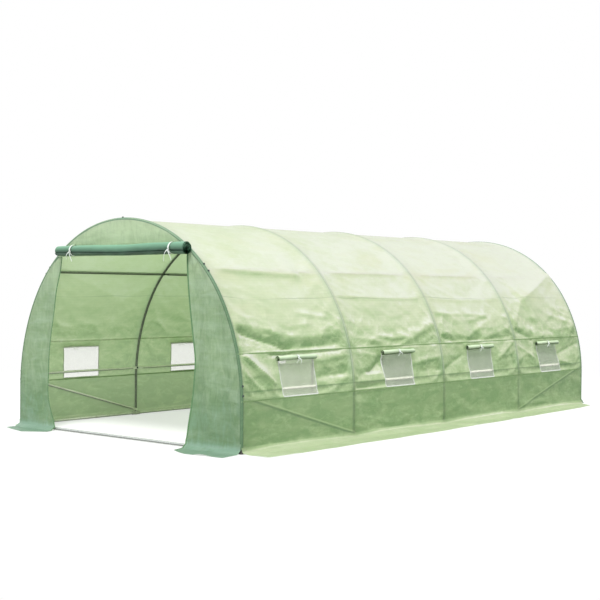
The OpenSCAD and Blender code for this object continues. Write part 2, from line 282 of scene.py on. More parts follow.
def paintedFrameShading(t, uv, up, along, behind, colour):
    # painted shadow: the frame behind the sheet is painted on as dark lines, and a painted shade line marks
    # where it was folded; painted highlights go on the brace ridge and over each hoop, with a painted shade
    # band in front of each hoop
    look, (footY, footZ), topZ = paintedFrameLook, brace["foot"], brace["top"][1]
    far = abs(along)
    slant = (up - footZ) * float(braceWay[0]) - (far - footY) * float(braceWay[1])
    within = t.spread(far, footY - 0.01, footY) * t.spread(up, topZ - 0.05, topZ, 1.0, 0.0)
    slow = t.noise(t.stretched(uv, (0.0, 1.0, 1.0)), 1.3, 1.0, 0.5)
    # painted shade along the fold line the sheet was packed on
    foldShadeLine = t.near(up - look["foldShadeAt"] + (slow - 0.5) * 0.06, 0.002, 0.006)
    # painted shadow lines of the lower purlin, braces and hoop edges behind the sheet
    paintedShadow = t.near(up - lowerS, 0.003, 0.010, look["rail"])
    for line in (t.near(slant + 0.011, 0.004, 0.013, look["braceUnder"]) * within,
                 t.near(behind + look["hoopEdge"], 0.002, 0.006, look["hoopFront"]),
                 t.near(behind - look["hoopEdge"], 0.002, 0.006, look["hoopBack"]),
                 foldShadeLine * t.spread(slow, 0.42, 0.58, 0.75, 0.2)):
        paintedShadow = paintedShadow.maths("MAXIMUM", line)
    paintedShadow = paintedShadow * t.spread(up, 0.9, 1.3, 1.0, 0.55) * t.spread(up, 0.03, 0.06)
    # painted shade band in front of each hoop
    shade = t.spread(behind, -0.075, -0.014, 0.0, 0.28) * t.spread(behind, -0.014, -0.010, 1.0, 0.0)
    high = t.spread(up, 0.45, 0.6)
    # painted highlight along the ridge over each brace
    colour = t.blend(t.near(slant - 0.007, 0.003, 0.011, look["braceOver"]) * within, colour, look["ridge"])
    colour = t.blend(shade * high, colour, look["shade"])
    # painted highlight over each hoop
    colour = t.blend(t.near(behind, 0.008, 0.012, 0.35) * high, colour, look["tube"])
    return t.blend(paintedShadow, colour, look["dark"])


def sheetFinish(name, look):
    # woven sheet: ripstop threads, crumple, painted light that makes it pale where painted as lit and green
    # where painted as shaded, and light let through
    made, t = newFinish(name)
    uv = t.flat()
    across, along, _ = t.split(uv)
    isCover = "glow" in look

    def threads(place, pitch, share):
        return t.spread(abs((place / pitch).maths("FRACT") - 0.5), 0.5 - share, 0.5)

    ribs = [threads(place, weave["thread"], weave["ribShare"]) for place in (across, along)]
    rib = ribs[0].maths("MAXIMUM", ribs[1])
    cord = threads(across, weave["thread"] * weave["cordEvery"], weave["cordShare"])  # lines along the walls
    cloud = t.noise(uv, 1.9, 3.0, 0.55)
    mottle = t.noise(t.stretched(uv, (1.0, 0.35, 1.0)), 11.0, 4.0, 0.6, 0.6)
    crumple = t.noise(t.stretched(uv, (1.0, 0.45, 1.0), 0.5), 16.0, 5.0, 0.62, 1.2)
    # painted light from the sky attribute, with random tone from cloud and mottle
    paleness = t.spread(t.sky() + (cloud - 0.5) * 0.35 + (mottle - 0.5) * 0.16, 0.02, 0.98)
    height = crumple * 0.55 + mottle * 0.35 + rib * 0.05
    if isCover:
        up = across.maths("MINIMUM", 2 * ridgeS - across)
        turn = (along - float(hoopY[0])) / float(bayLong) + 0.5
        behind = (turn.maths("FRACT") - 0.5) * float(bayLong)  # how far past the nearest hoop
        crushShading, crushHigh = crushedBand(t, uv, up)
        pullShading, pullHigh = hoopPulls(t, up, along, abs(behind))
        # painted light and shade of the crushed band and pull lines is added to the paleness
        paleness = paleness + lowScuffs(t, uv, up) + crushShading + pullShading
        height = height + crushHigh + pullHigh
    if "hem" in look:  # upright creases in the end sheets, with painted light and shade from the same noise as their bump
        crush = t.noise(t.stretched(uv, (0.3, 1.0, 1.0)), 19.0, 4.0, 0.62, 1.2)
        paleness = paleness + (crush - 0.5) * 0.6
        height = height + crush * 0.7
    stops = [(0.0, look["hem"]), (0.3, look["wall"])] if "hem" in look else [(0.0, look["wall"])]
    colour = t.node("ShaderNodeValToRGB", {0: paleness}, stops=stops + look["pale"])
    if isCover:  # faint yellow patches over the roof
        patch = t.noise(t.stretched(uv, (1.0, 0.4, 1.0)), 3.4, 4.0, 0.6, 0.8)
        colour = t.blend(t.spread(patch, 0.52, 0.70) * t.spread(up, 1.0, 1.4) * 0.45, colour, look["yellow"])
    fade = t.spread(paleness, 0.75, 1.0, 1.0, 0.25)  # wear and weave hardly show where it is palest
    worn = t.blend(t.spread(mottle, 0.42, 0.72) * fade * 0.26, colour, look["worn"])
    woven = t.blend((rib * 0.10 + cord * 0.14) * fade, worn, tuple(c * 0.55 for c in look["wall"]))
    if isCover:
        woven = paintedFrameShading(t, uv, up, along, behind, woven)
    bump = t.bump(weave["bump"], weave["deep"], height)
    rough = t.spread(mottle, 0.3, 0.7, 0.34, 0.5)
    face = t.face(colour=woven, rough=rough, normal=bump, ior=1.45, shine=0.45)
    through = [t.node("ShaderNodeBsdfTranslucent", {"Color": c, "Normal": bump})
               for c in look.get("glow", [look["wall"]])]
    if isCover:  # light that comes through is greener than the face, and more so over the roof
        through = [t.mixed(t.spread(up, 0.45, 1.1), *through)]
    t.close(t.mixed(look["thin"], face, through[0]))
    return made


def meshFinish(name):
    # insect mesh: pale threads with the gaps between them let through
    made, t = newFinish(name)
    uv = t.flat()
    cloud = t.noise(uv, 7.0, 3.0, 0.6)
    fine = t.noise(uv, 900.0, 1.0, 0.5)
    colour = t.blend(cloud, tint(226, 226, 218), tint(244, 244, 236))
    through = t.node("ShaderNodeBsdfTranslucent", {"Color": tint(242, 242, 234)})
    threads = t.mixed(0.5, t.face(colour=colour, rough=0.6, shine=0.2), through)
    filled = t.spread(fine + (cloud - 0.5) * 0.2, 0.3, 0.7, 0.36, 0.62)
    t.close(t.mixed(filled, t.node("ShaderNodeBsdfTransparent"), threads))
    return made


def tapeFinish(name, base, dark, hasUv=True, top=None, thin=0.0):
    # woven tape: a fine twill, a little soiled
    made, t = newFinish(name)
    place = t.flat() if hasUv else t.solid()
    across, along, up = t.split(place)
    twill = abs(((across + along) / 0.0032).maths("FRACT") - 0.5) * 2.0
    soil = t.noise(place, 26.0, 3.0, 0.6)
    colour = t.blend(t.spread(soil, 0.35, 0.75) * 0.5 + twill * 0.12, base, dark)
    if top:  # painted light: paler towards the crown, where more light falls
        colour = t.blend(t.spread(up, 1.2, 1.95, 0.0, 0.8), colour, top)
    bump = t.bump(0.35, 0.0015, twill)
    face = t.face(colour=colour, rough=0.72, normal=bump, shine=0.25)
    if thin:
        face = t.mixed(thin, face, t.node("ShaderNodeBsdfTranslucent", {"Color": base, "Normal": bump}))
    t.close(face)
    return made


def steelFinish(name, low, high, metal, paintedShadeRange):
    # galvanised tube: spangle, streaks along it, duller patches, and painted shade on the underside
    made, t = newFinish(name)
    place = t.solid()
    grey = t.node("ShaderNodeSeparateColor", {0: t.cells(place, 95.0, 1)})
    patch = t.noise(place, 6.0, 4.0, 0.6)
    streak = t.noise(t.stretched(place, (60.0, 6.0, 60.0)), 1.0, 3.0, 0.6)
    colour = t.blend(grey * 0.45 + patch * 0.35 + streak * 0.2, low, high)
    colour = t.blend(t.spread(patch, 0.56, 0.74) * 0.45, colour, tint(124, 124, 112))
    # painted shade: dark where the sky attribute says the tube faces down
    colour = t.blend(t.spread(t.sky(), *paintedShadeRange, 0.8, 0.0), colour, tint(62, 68, 56))
    rough = t.spread(grey * 0.5 + streak * 0.5, 0.2, 0.8, 0.28, 0.5)
    t.close(t.face(colour=colour, metal=metal, rough=rough, normal=t.bump(0.12, 0.001, streak + grey * 0.4)))
    return made


def plasticFinish(name, base, dust, soiled=0.0):
    # moulded plastic: fine grain, dusty low down, and pale with dry soil away from the ends
    made, t = newFinish(name)
    place = t.solid()
    _, along, up = t.split(place)
    patch = t.noise(place, 30.0, 4.0, 0.6)
    colour = t.blend(t.spread(up, 0.0, 0.03, 0.5, 0.08) * t.spread(patch, 0.35, 0.7), base, dust)
    if soiled:
        colour = t.blend(t.spread(abs(along), 2.4, 2.6, soiled, 0.0), colour, tint(206, 206, 196))
    bump = t.bump(0.25, 0.0008, t.noise(place, 420.0, 2.0, 0.5))
    t.close(t.face(colour=colour, rough=t.spread(patch, 0.3, 0.7, 0.42, 0.62), normal=bump))
    return made


greenSheet = sheetFinish("greenCover", coverLook)
endSheet = sheetFinish("greenEnds", endLook)
doorSheet = sheetFinish("greenDoor", doorLook)
flapSheet = sheetFinish("greenFlaps", rollLook)
windowMesh = meshFinish("insectMesh")
whiteTape = tapeFinish("whiteTape", tint(224, 230, 224), tint(178, 188, 182))
borderTape = tapeFinish("meshBorder", tint(200, 204, 198), tint(174, 182, 170))
seamTape = tapeFinish("seamTape", tint(146, 174, 124), tint(106, 136, 90), thin=0.5)
seamThread = tapeFinish("seamThread", tint(176, 198, 154), tint(130, 158, 110), False)
# the hoop binding is painted paler towards the crown, as painted light
bindTape = tapeFinish("hoopBinding", tint(92, 121, 90), tint(68, 96, 70), False, tint(124, 152, 128))
hemTape = tapeFinish("doorwayHem", tint(96, 130, 92), tint(70, 104, 70))
# three copies of one galvanised finish, painted at different brightness for the light each tube catches:
# darkest on the hoops and upper purlins, palest on the lower purlin, braces and rails
steel = steelFinish("galvanised", tint(112, 118, 110), tint(168, 174, 164), 0.6, (0.25, 0.70))
paintedLitSteel = steelFinish("paintedLitGalvanised", tint(214, 216, 204), tint(244, 244, 234), 0.1, (0.15, 0.48))
railSteel = steelFinish("railGalvanised", tint(150, 154, 152), tint(206, 210, 208), 0.25, (0.25, 0.65))
blackPlastic = plasticFinish("blackMoulding", tint(34, 36, 36), tint(112, 108, 98), 0.85)
boltFinish = plasticFinish("darkBolts", tint(64, 78, 72), tint(112, 112, 104))
print("finishes made")


# camera and light

cameraAt = {"place": (8.1212, -10.051, 1.3461), "yaw": -0.7051, "pitch": -0.0074, "roll": 0.0068,
            "lens": 70.57, "sensor": 36.0, "reach": 400.0}
light = {"sky": 0.76, "sun": 3.45, "sunFrom": (0.30, -0.46, 0.82), "sunAngle": 18.0}
floorLook = {"radius": 9.0, "sides": 96, "below": 0.0015, "fade": (4.2, 8.0), "shown": 0.93, "bounce": 0.76,
             "glow": 0.55}


def placeCamera():
    yaw, pitch, roll = cameraAt["yaw"], cameraAt["pitch"], cameraAt["roll"]
    look = Vector((math.sin(yaw) * math.cos(pitch), math.cos(yaw) * math.cos(pitch), math.sin(pitch)))
    right = look.cross(Vector((0, 0, 1))).normalized()
    up = right.cross(look)
    x = right * math.cos(roll) + up * math.sin(roll)
    y = up * math.cos(roll) - right * math.sin(roll)
    made = bpy.data.cameras.new("photoCamera")
    made.lens, made.sensor_width, made.clip_end = cameraAt["lens"], cameraAt["sensor"], cameraAt["reach"]
    eye = bpy.data.objects.new("photoCamera", made)
    eye.matrix_world = Matrix.Translation(cameraAt["place"]) @ Matrix((x, y, -look)).transposed().to_4x4()
    scene.collection.objects.link(eye)
    scene.camera = eye


def lightScene():
    world = bpy.data.worlds.new("studio")
    world.use_nodes = True
    world.node_tree.nodes.clear()
    t = Tree(world.node_tree)
    seen, glossy, clear = (t.node("ShaderNodeLightPath", None, out) for out in (0, 3, 6))
    straight = seen.maths("MAXIMUM", glossy).maths("MAXIMUM", clear)
    strength = straight * (1.0 - light["sky"]) + light["sky"]
    back = t.node("ShaderNodeBackground", {0: (1.0, 1.0, 1.0), 1: strength})
    t.node("ShaderNodeOutputWorld", {0: back})
    scene.world = world
    lamp = bpy.data.lights.new("softSun", "SUN")
    lamp.energy = light["sun"]
    lamp.angle = math.radians(light["sunAngle"])
    sun = bpy.data.objects.new("softSun", lamp)
    sun.rotation_euler = Vector(light["sunFrom"]).to_track_quat("Z", "Y").to_euler()
    scene.collection.objects.link(sun)


def layFloor():
    made, t = newFinish("paleFloor")
    place = t.solid()
    reach = t.node("ShaderNodeVectorMath", {0: place}, 1, operation="LENGTH")
    seen = t.node("ShaderNodeLightPath")
    colour = t.blend(seen, (floorLook["bounce"],) * 3, (floorLook["shown"],) * 3)
    face = t.face(colour=colour, rough=t.spread(t.noise(place, 3.0), 0.3, 0.7, 0.85, 0.95), shine=0.0)
    glow = t.node("ShaderNodeEmission", {0: (1.0, 1.0, 1.0), 1: 1.0})
    lifted = t.mixed(seen * floorLook["glow"], face, glow)
    t.close(t.mixed(t.spread(reach, *floorLook["fade"]), lifted, t.node("ShaderNodeBsdfTransparent")))
    mesh = bpy.data.meshes.new("floor")
    turns = np.linspace(0, 2 * math.pi, floorLook["sides"] + 1)[:-1]
    radius = floorLook["radius"]
    ring = [(radius * math.cos(a), radius * math.sin(a), -floorLook["below"]) for a in turns]
    mesh.from_pydata(ring, [], [tuple(range(len(ring)))])
    mesh.materials.append(made)
    floor = bpy.data.objects.new("floor", mesh)
    scene.collection.objects.link(floor)


placeCamera()
scene.view_settings.view_transform = "Standard"
lightScene()
layFloor()
print("camera and light placed")


# mesh helpers

def newPiece(name, points, faces, finish, uv, sky):
    mesh = bpy.data.meshes.new(name)
    mesh.from_pydata(np.asarray(points, float).tolist(), [], [tuple(f) for f in faces])
    mesh.materials.append(finish)
    layer = mesh.uv_layers.new(name="UVMap")
    corner = np.zeros(len(mesh.loops), np.int32)
    mesh.loops.foreach_get("vertex_index", corner)
    layer.data.foreach_set("uv", np.asarray(uv, np.float32)[corner].ravel())
    mesh.attributes.new("sky", "FLOAT", "POINT").data.foreach_set("value", np.asarray(sky, np.float32))
    mesh.shade_smooth()
    mesh.update()
    piece = bpy.data.objects.new(name, mesh)
    scene.collection.objects.link(piece)
    return piece


def gridFaces(rows, cols, keep=None, start=0):
    r, c = np.meshgrid(np.arange(rows - 1), np.arange(cols - 1), indexing="ij")
    if keep is not None:
        r, c = r[keep], c[keep]
    a = (r * cols + c).ravel() + start
    return np.stack([a, a + 1, a + cols + 1, a + cols], 1).tolist()


def gridPiece(name, points, finish, uv, sky, keep=None):
    faces = gridFaces(*points.shape[:2], keep)
    return newPiece(name, points.reshape(-1, 3), faces, finish, uv.reshape(-1, 2), sky.ravel())


def gridNormals(points):
    n = np.cross(np.gradient(points, axis=1), np.gradient(points, axis=0))
    return n / np.maximum(np.linalg.norm(n, axis=-1, keepdims=True), 1e-9)


def softNoise(shape, cells, rng):  # smooth noise over a grid, mostly from -1 to 1
    knots = rng.standard_normal((cells[0] + 3, cells[1] + 3))

    def weights(n, k):
        p = np.linspace(0, k, n)
        i = np.minimum(p.astype(int), k - 1)
        f = p - i
        inner = [3 * f ** 3 - 6 * f ** 2 + 4, -3 * f ** 3 + 3 * f ** 2 + 3 * f + 1]
        w = np.stack([(1 - f) ** 3, *inner, f ** 3], 1) / 6
        m = np.zeros((n, k + 3))
        for j in range(4):
            m[np.arange(n), i + j] += w[:, j]
        return m

    made = weights(shape[0], cells[0]) @ knots @ weights(shape[1], cells[1]).T
    return made / 1.2


def flatGrid(first, second):  # a UV grid from what changes up it and what changes along it
    return np.stack(np.broadcast_arrays(first, second), -1)


def ribbon(points, normals, wide, lift, ways=None):
    # a strip that follows a line, lying on the surface with these normals
    points, normals = np.asarray(points, float), np.asarray(normals, float)
    side = np.cross(np.gradient(points, axis=0), normals) if ways is None else np.asarray(ways, float)
    side /= np.maximum(np.linalg.norm(side, axis=1, keepdims=True), 1e-9)
    run = np.concatenate([[0.0], np.cumsum(np.linalg.norm(np.diff(points, axis=0), axis=1))])
    share = np.linspace(-0.5, 0.5, 3)
    crown = lift * (1.0 - 0.5 * (2 * share) ** 2)
    grid = points[:, None] + side[:, None] * (share * wide)[None, :, None]
    grid = grid + normals[:, None] * crown[None, :, None]
    return grid, flatGrid((share * wide)[None], run[:, None])


def gather(name, strips, finish, sky=0.3):
    # several grids as one piece
    faces, start = [], 0
    for grid, _ in strips:
        rows, cols = grid.shape[:2]
        faces += gridFaces(rows, cols, None, start)
        start += rows * cols
    points = np.concatenate([grid.reshape(-1, 3) for grid, _ in strips])
    uv = np.concatenate([flat.reshape(-1, 2) for _, flat in strips])
    return newPiece(name, points, faces, finish, uv, np.broadcast_to(np.ravel(sky), len(points)))


def areaUnder(wide, z):
    return float(np.sum((wide[1:] + wide[:-1]) / 2 * np.diff(z)))


def nearest(values, at):
    return int(np.argmin(np.abs(values - at)))


def ease(share):
    return share * share * (3 - 2 * share)


def fasten(piece, slot, *replaced):
    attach(piece, "root")
    if replaced:
        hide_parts(*replaced)


# the cover: one sheet over the hoops, settled under its own weight

cover = {"seed": 5, "steps": 80, "quickSteps": 4, "passes": 14, "fall": 4e-5, "keep": 0.94, "suck": 1.2e-5,
         "strap": 0.3, "shear": 0.35, "bend": 0.10, "calmPasses": 24,
         "held": 0.006, "heldIn": 0.0015, "endIn": 0.006, "purlinIn": 0.0277, "purlinPad": 0.070,
         "slackUp": {"lower": 0.0006, "band": 0.0022, "haunch": 0.0010, "roof": 0.0008},
         "slackAlong": {"lower": 0.0008, "band": 0.0018, "haunch": 0.0007, "roof": 0.0006},
         "loose": [(1.0, 0.22, 1.0), (0.66, 0.12, 0.45)],  # loose cloth: where up the side, spread, share
         "rumple": [((30, 36), 0.003, 0.004), ((70, 90), 0.001, 0.003)],  # cells, all over, where loose
         "ridges": [((16, 30), 0.008), ((26, 56), 0.005)],  # cells and height of the sharp little ridges
         "fineAt": [0.80, 0.86, 0.95], "fine": [0.8, 0.3, 0.12],  # small swags kept, up the side
         "paintedLightAt": [0.06, 0.20, 0.40, 0.44, 0.50, 0.60, 0.70, 0.78, 0.82, 0.86, 0.90, 0.98, 1.05, 1.15,
                      1.30, 1.50, 1.70],  # painted light: how pale, up the side, paler higher up where more light falls
         "paintedLight": [-0.10, 0.02, 0.10, 0.04, 0.18, 0.33, 0.50, 0.66, 0.54, 0.32, 0.46, 0.56, 0.62, 0.70, 0.80,
                    0.90, 0.97],
         "foldUp": 1.3, "foldBack": 0.35,  # painted highlight: paler where a fold turns up, and where it faces the back
         "paler": {"roof": 0.26, "low": 0.21, "front": 0.9, "back": 1.15, "over": 0.3},  # painted light: paler towards the back
         "lying": (0.2, 0.60),  # painted light: what lies on the ground is painted paler by the first, up to the second
         "still": 0.06, "beside": (0.25, 0.12), "small": 0.0030, "sharp": 2.2, "ridgeShare": (0.12, 0.88),
         "farShare": 0.25, "lastPasses": 3,
         "creases": [  # from s, y to s, y, how far out, how wide above and below
          (1.088, -2.97, 1.046, -2.63, 0.016, 0.16, 0.045), (1.046, -2.63, 0.968, -2.39, 0.020, 0.16, 0.040),
          (1.03, -2.95, 0.93, -2.60, -0.036, 0.025, 0.055), (0.93, -2.60, 0.84, -2.30, -0.030, 0.025, 0.040),
          (0.962, -2.37, 0.972, -1.54, 0.020, 0.15, 0.060), (1.645, -2.84, 1.60, -1.82, 0.018, 0.16, 0.030),
          (1.19, -2.10, 1.14, -1.70, 0.008, 0.03, 0.014), (1.055, -2.35, 1.085, -1.94, 0.006, 0.03, 0.014),
          (0.97, -1.53, 1.09, -1.80, 0.006, 0.02, 0.014), (1.06, -1.50, 1.26, -1.77, 0.005, 0.02, 0.014),
          (0.82, -2.95, 0.56, -2.56, 0.042, 0.040, 0.050), (0.66, -2.93, 0.47, -2.68, 0.014, 0.02, 0.03),
          (0.72, -2.96, 0.50, -2.84, 0.010, 0.02, 0.02), (0.73, -2.00, 0.77, -1.54, 0.014, 0.06, 0.05),
          (1.36, -1.44, 1.330, -0.10, 0.007, 0.06, 0.012), (0.93, -1.44, 0.88, -0.95, 0.006, 0.02, 0.015),
          (0.845, -0.68, 1.04, -0.03, 0.026, 0.13, 0.090), (0.45, -1.47, 0.715, -0.97, -0.045, 0.040, 0.11),
          (0.65, -0.50, 0.70, -0.04, 0.020, 0.08, 0.045), (0.79, -1.44, 0.74, -1.05, 0.008, 0.02, 0.02),
          (1.33, 0.03, 1.315, 1.46, 0.004, 0.05, 0.012), (0.945, 0.04, 0.885, 0.62, 0.016, 0.15, 0.045),
          (0.845, 0.78, 0.985, 1.46, 0.022, 0.15, 0.070), (0.84, 0.95, 0.875, 1.44, -0.008, 0.012, 0.02),
          (0.90, 0.05, 0.81, 0.42, -0.014, 0.02, 0.035), (0.70, 0.42, 0.56, 0.03, -0.018, 0.05, 0.05),
          (1.146, 0.08, 1.15, 0.60, 0.008, 0.06, 0.012), (1.15, 0.60, 1.12, 1.05, 0.009, 0.06, 0.012),
          (1.075, 0.66, 1.12, 1.05, 0.008, 0.03, 0.012), (0.62, 1.08, 0.82, 1.46, 0.024, 0.07, 0.060),
          (1.31, 1.92, 1.690, 2.97, 0.044, 0.14, 0.170), (0.98, 1.55, 1.31, 1.92, 0.022, 0.09, 0.14),
          (0.93, 1.56, 0.80, 1.90, -0.016, 0.03, 0.040), (0.92, 2.40, 0.96, 2.95, 0.018, 0.10, 0.05),
          (0.76, 1.54, 0.60, 1.93, 0.014, 0.03, 0.05), (0.62, 2.45, 0.75, 2.95, -0.020, 0.10, 0.04),
          (0.55, 2.50, 0.50, 2.80, 0.014, 0.04, 0.02), (1.30, 2.72, 1.05, 2.62, 0.006, 0.02, 0.016),
          (1.22, 2.55, 1.05, 2.95, 0.006, 0.02, 0.016), (1.12, 2.50, 0.97, 2.93, 0.006, 0.02, 0.016),
          (0.185, -1.45, 0.085, -0.82, 0.008, 0.020, 0.015), (0.085, -0.80, 0.17, -0.48, 0.007, 0.020, 0.015),
          (0.10, 1.54, 0.11, 2.20, 0.007, 0.015, 0.015), (0.235, -2.62, 0.25, -2.42, 0.007, 0.015, 0.015),
          (0.13, 0.10, 0.22, 0.45, 0.006, 0.02, 0.02), (0.34, -1.46, 0.27, -1.10, 0.006, 0.02, 0.02),
          (0.80, -2.60, 0.81, -1.62, -0.016, 0.045, 0.012), (0.865, -2.15, 0.87, -1.60, -0.016, 0.035, 0.012),
          (0.84, 0.52, 0.845, 1.02, -0.016, 0.030, 0.010), (0.58, -1.98, 0.60, -1.56, -0.016, 0.05, 0.02),
          (0.56, -0.42, 0.56, -0.06, -0.012, 0.06, 0.02)]}
window = {"border": 0.011, "lift": 0.0016, "lean": (-0.04, -0.04, -0.03, -0.08), "leanWide": 0.36,
          "leanOver": 0.06, "leanUp": [0.0, 1.0, 0.7, 0.0]}  # at the sill, the head, the seam and over it


def lines(stops, cells):
    parts = [np.linspace(a, b, n + 1)[:-1] for a, b, n in zip(stops[:-1], stops[1:], cells)]
    return np.concatenate(parts + [[stops[-1]]])


def settle(points, free, restUp, restAlong, push, guard, steps):
    # a sheet of threads between held points, let down a little at a time
    rows, cols = free.shape
    links = []

    def link(a, b, rest, stiff, shortOnly=False):
        wa, wb = free[a], free[b]
        total = np.maximum(wa + wb, 1e-6)
        links.append((a, b, (wa / total * stiff)[..., None], (wb / total * stiff)[..., None],
                      rest.astype(np.float32), shortOnly))

    every, first, second = slice(None), slice(0, cols - 1), slice(1, cols)
    cross = np.hypot((restUp[:, 1:] + restUp[:, :-1]) / 2, (restAlong[1:] + restAlong[:-1]) / 2)
    for k in (0, 1):
        below, above = slice(k, rows - 1, 2), slice(k + 1, rows, 2)
        link((below, every), (above, every), restUp[k::2], 1.0)
        link((every, slice(k, cols - 1, 2)), (every, slice(k + 1, cols, 2)), restAlong[:, k::2], 1.0)
        link((below, first), (above, second), cross[k::2], cover["shear"])
        link((below, second), (above, first), cross[k::2], cover["shear"])
    twoUp, twoAlong = restUp[1:] + restUp[:-1], restAlong[:, 1:] + restAlong[:, :-1]
    for k in range(4):
        below, above = slice(k, rows - 2, 4), slice(k + 2, rows, 4)
        left, right = slice(k, cols - 2, 4), slice(k + 2, cols, 4)
        link((below, every), (above, every), twoUp[k::4], cover["bend"], True)
        link((every, left), (every, right), twoAlong[:, k::4], cover["bend"], True)
    points = points.astype(np.float32)
    push = (push * free[..., None]).astype(np.float32)
    speed = np.zeros_like(points)
    for step in range(steps):
        before = points.copy()
        points += speed * cover["keep"] + push
        for again in range(cover["passes"]):
            for a, b, wa, wb, rest, shortOnly in links:
                d = points[b] - points[a]
                n = np.sqrt(np.einsum("ijk,ijk->ij", d, d)) + 1e-9
                c = 1.0 - rest / n
                if shortOnly:
                    c = np.minimum(c, 0.0)
                d *= c[..., None]
                points[a] += d * wa
                points[b] -= d * wb
            guard(points)
        speed = points - before
    return points.astype(float)


def coverGrid():
    # lengths up and over, places along, and which of those a hoop holds
    pad, w = cover["purlinPad"], tunnel["windowWide"] / 2
    stops = [tunnel["fold"], seamS, sillS, lowerS, headS, bandS, upperS, upperS + pad, ridgeS - pad, ridgeS]
    half = lines(stops, [16, 1, 4, 18, 4, 46, 4, 22, 4])
    y, held = [-endY], [True]
    for a, e, m in zip(hoopY[:-1], hoopY[1:], bayMiddle):
        run = lines([a + cover["held"], m - w, m + w, e - cover["held"]], [22, 18, 22])
        y += [a, *run]
        held += [True, True] + [False] * (len(run) - 2) + [True]
    s = np.concatenate([half, 2 * ridgeS - half[-2::-1]])
    return s, np.array(y + [hoopY[-1], endY]), np.array(held + [True, True])


# low tents over the purlins and braces, which the sheet stays above
keepOut = {"purlinRows": 5, "purlinLift": 0.0015, "purlinSlope": 0.22, "purlinReach": 0.08,
           "braceTop": 0.52, "braceFrom": 1.49, "braceReach": 0.035, "braceFall": 0.010}


def coverGuard(s, y, base):
    # holds the sewn seams on their line, and keeps the sheet outside the purlins and braces
    reach = tunnel["tube"] / 2 + tunnel["sheetOut"]
    tubes = [(nearest(s, at), *(float(v) for v in arch(at, -cover["purlinIn"]))) for at in purlinAt]
    rows, low, corner = len(s), nearest(s, keepOut["braceTop"]), np.abs(y) > keepOut["braceFrom"]
    straps = [nearest(s, at) for at in seamAt]

    def guard(points):
        for i in straps:
            points[i] += (base[i] - points[i]) * cover["strap"]
        for i, px, pz, ax, az in tubes:
            p = points[i - keepOut["purlinRows"]:i + keepOut["purlinRows"] + 1]
            dx, dz = p[..., 0] - px, p[..., 2] - pz
            side = np.abs(dx * -az + dz * ax)
            need = reach + keepOut["purlinLift"] - keepOut["purlinSlope"] * side - (dx * ax + dz * az)
            need = np.where(side < keepOut["purlinReach"], np.maximum(need, 0.0), 0.0)
            p[..., 0] += need * ax
            p[..., 2] += need * az
        for rowsAt, sign in ((slice(1, low), 1.0), (slice(rows - low, rows - 1), -1.0)):
            p = points[rowsAt][:, corner]
            py, pz = np.abs(p[..., 1]) - brace["foot"][0], p[..., 2] - brace["foot"][1]
            t = py * braceWay[0] + pz * braceWay[1]
            off = py * braceWay[1] - pz * braceWay[0]
            near = (t > 0) & (t < braceLong) & (np.abs(off) < keepOut["braceReach"])
            top = brace["x"] + reach - keepOut["braceFall"] * (off / keepOut["braceReach"]) ** 2
            p[..., 0] = np.where(near, sign * np.maximum(sign * p[..., 0], top), p[..., 0])
            points[rowsAt, corner] = p

    return guard


def strokes(sa, y):
    # how far the pull lines and folds stand out
    rise = np.zeros((len(sa), len(y)))
    for s0, y0, s1, y1, high, above, below in cover["creases"]:
        d = np.array([s1 - s0, y1 - y0])
        long = np.hypot(*d)
        d /= long
        ps, py = sa[:, None] - s0, y[None] - y0
        t = ps * d[0] + py * d[1]
        off = ps * d[1] - py * d[0]
        ends = np.clip(np.minimum(t, long - t) / 0.10 + 0.4, 0, 1)
        rise += high * np.exp(-np.abs(off) / np.where(off > 0, above, below)) * ends
    return rise


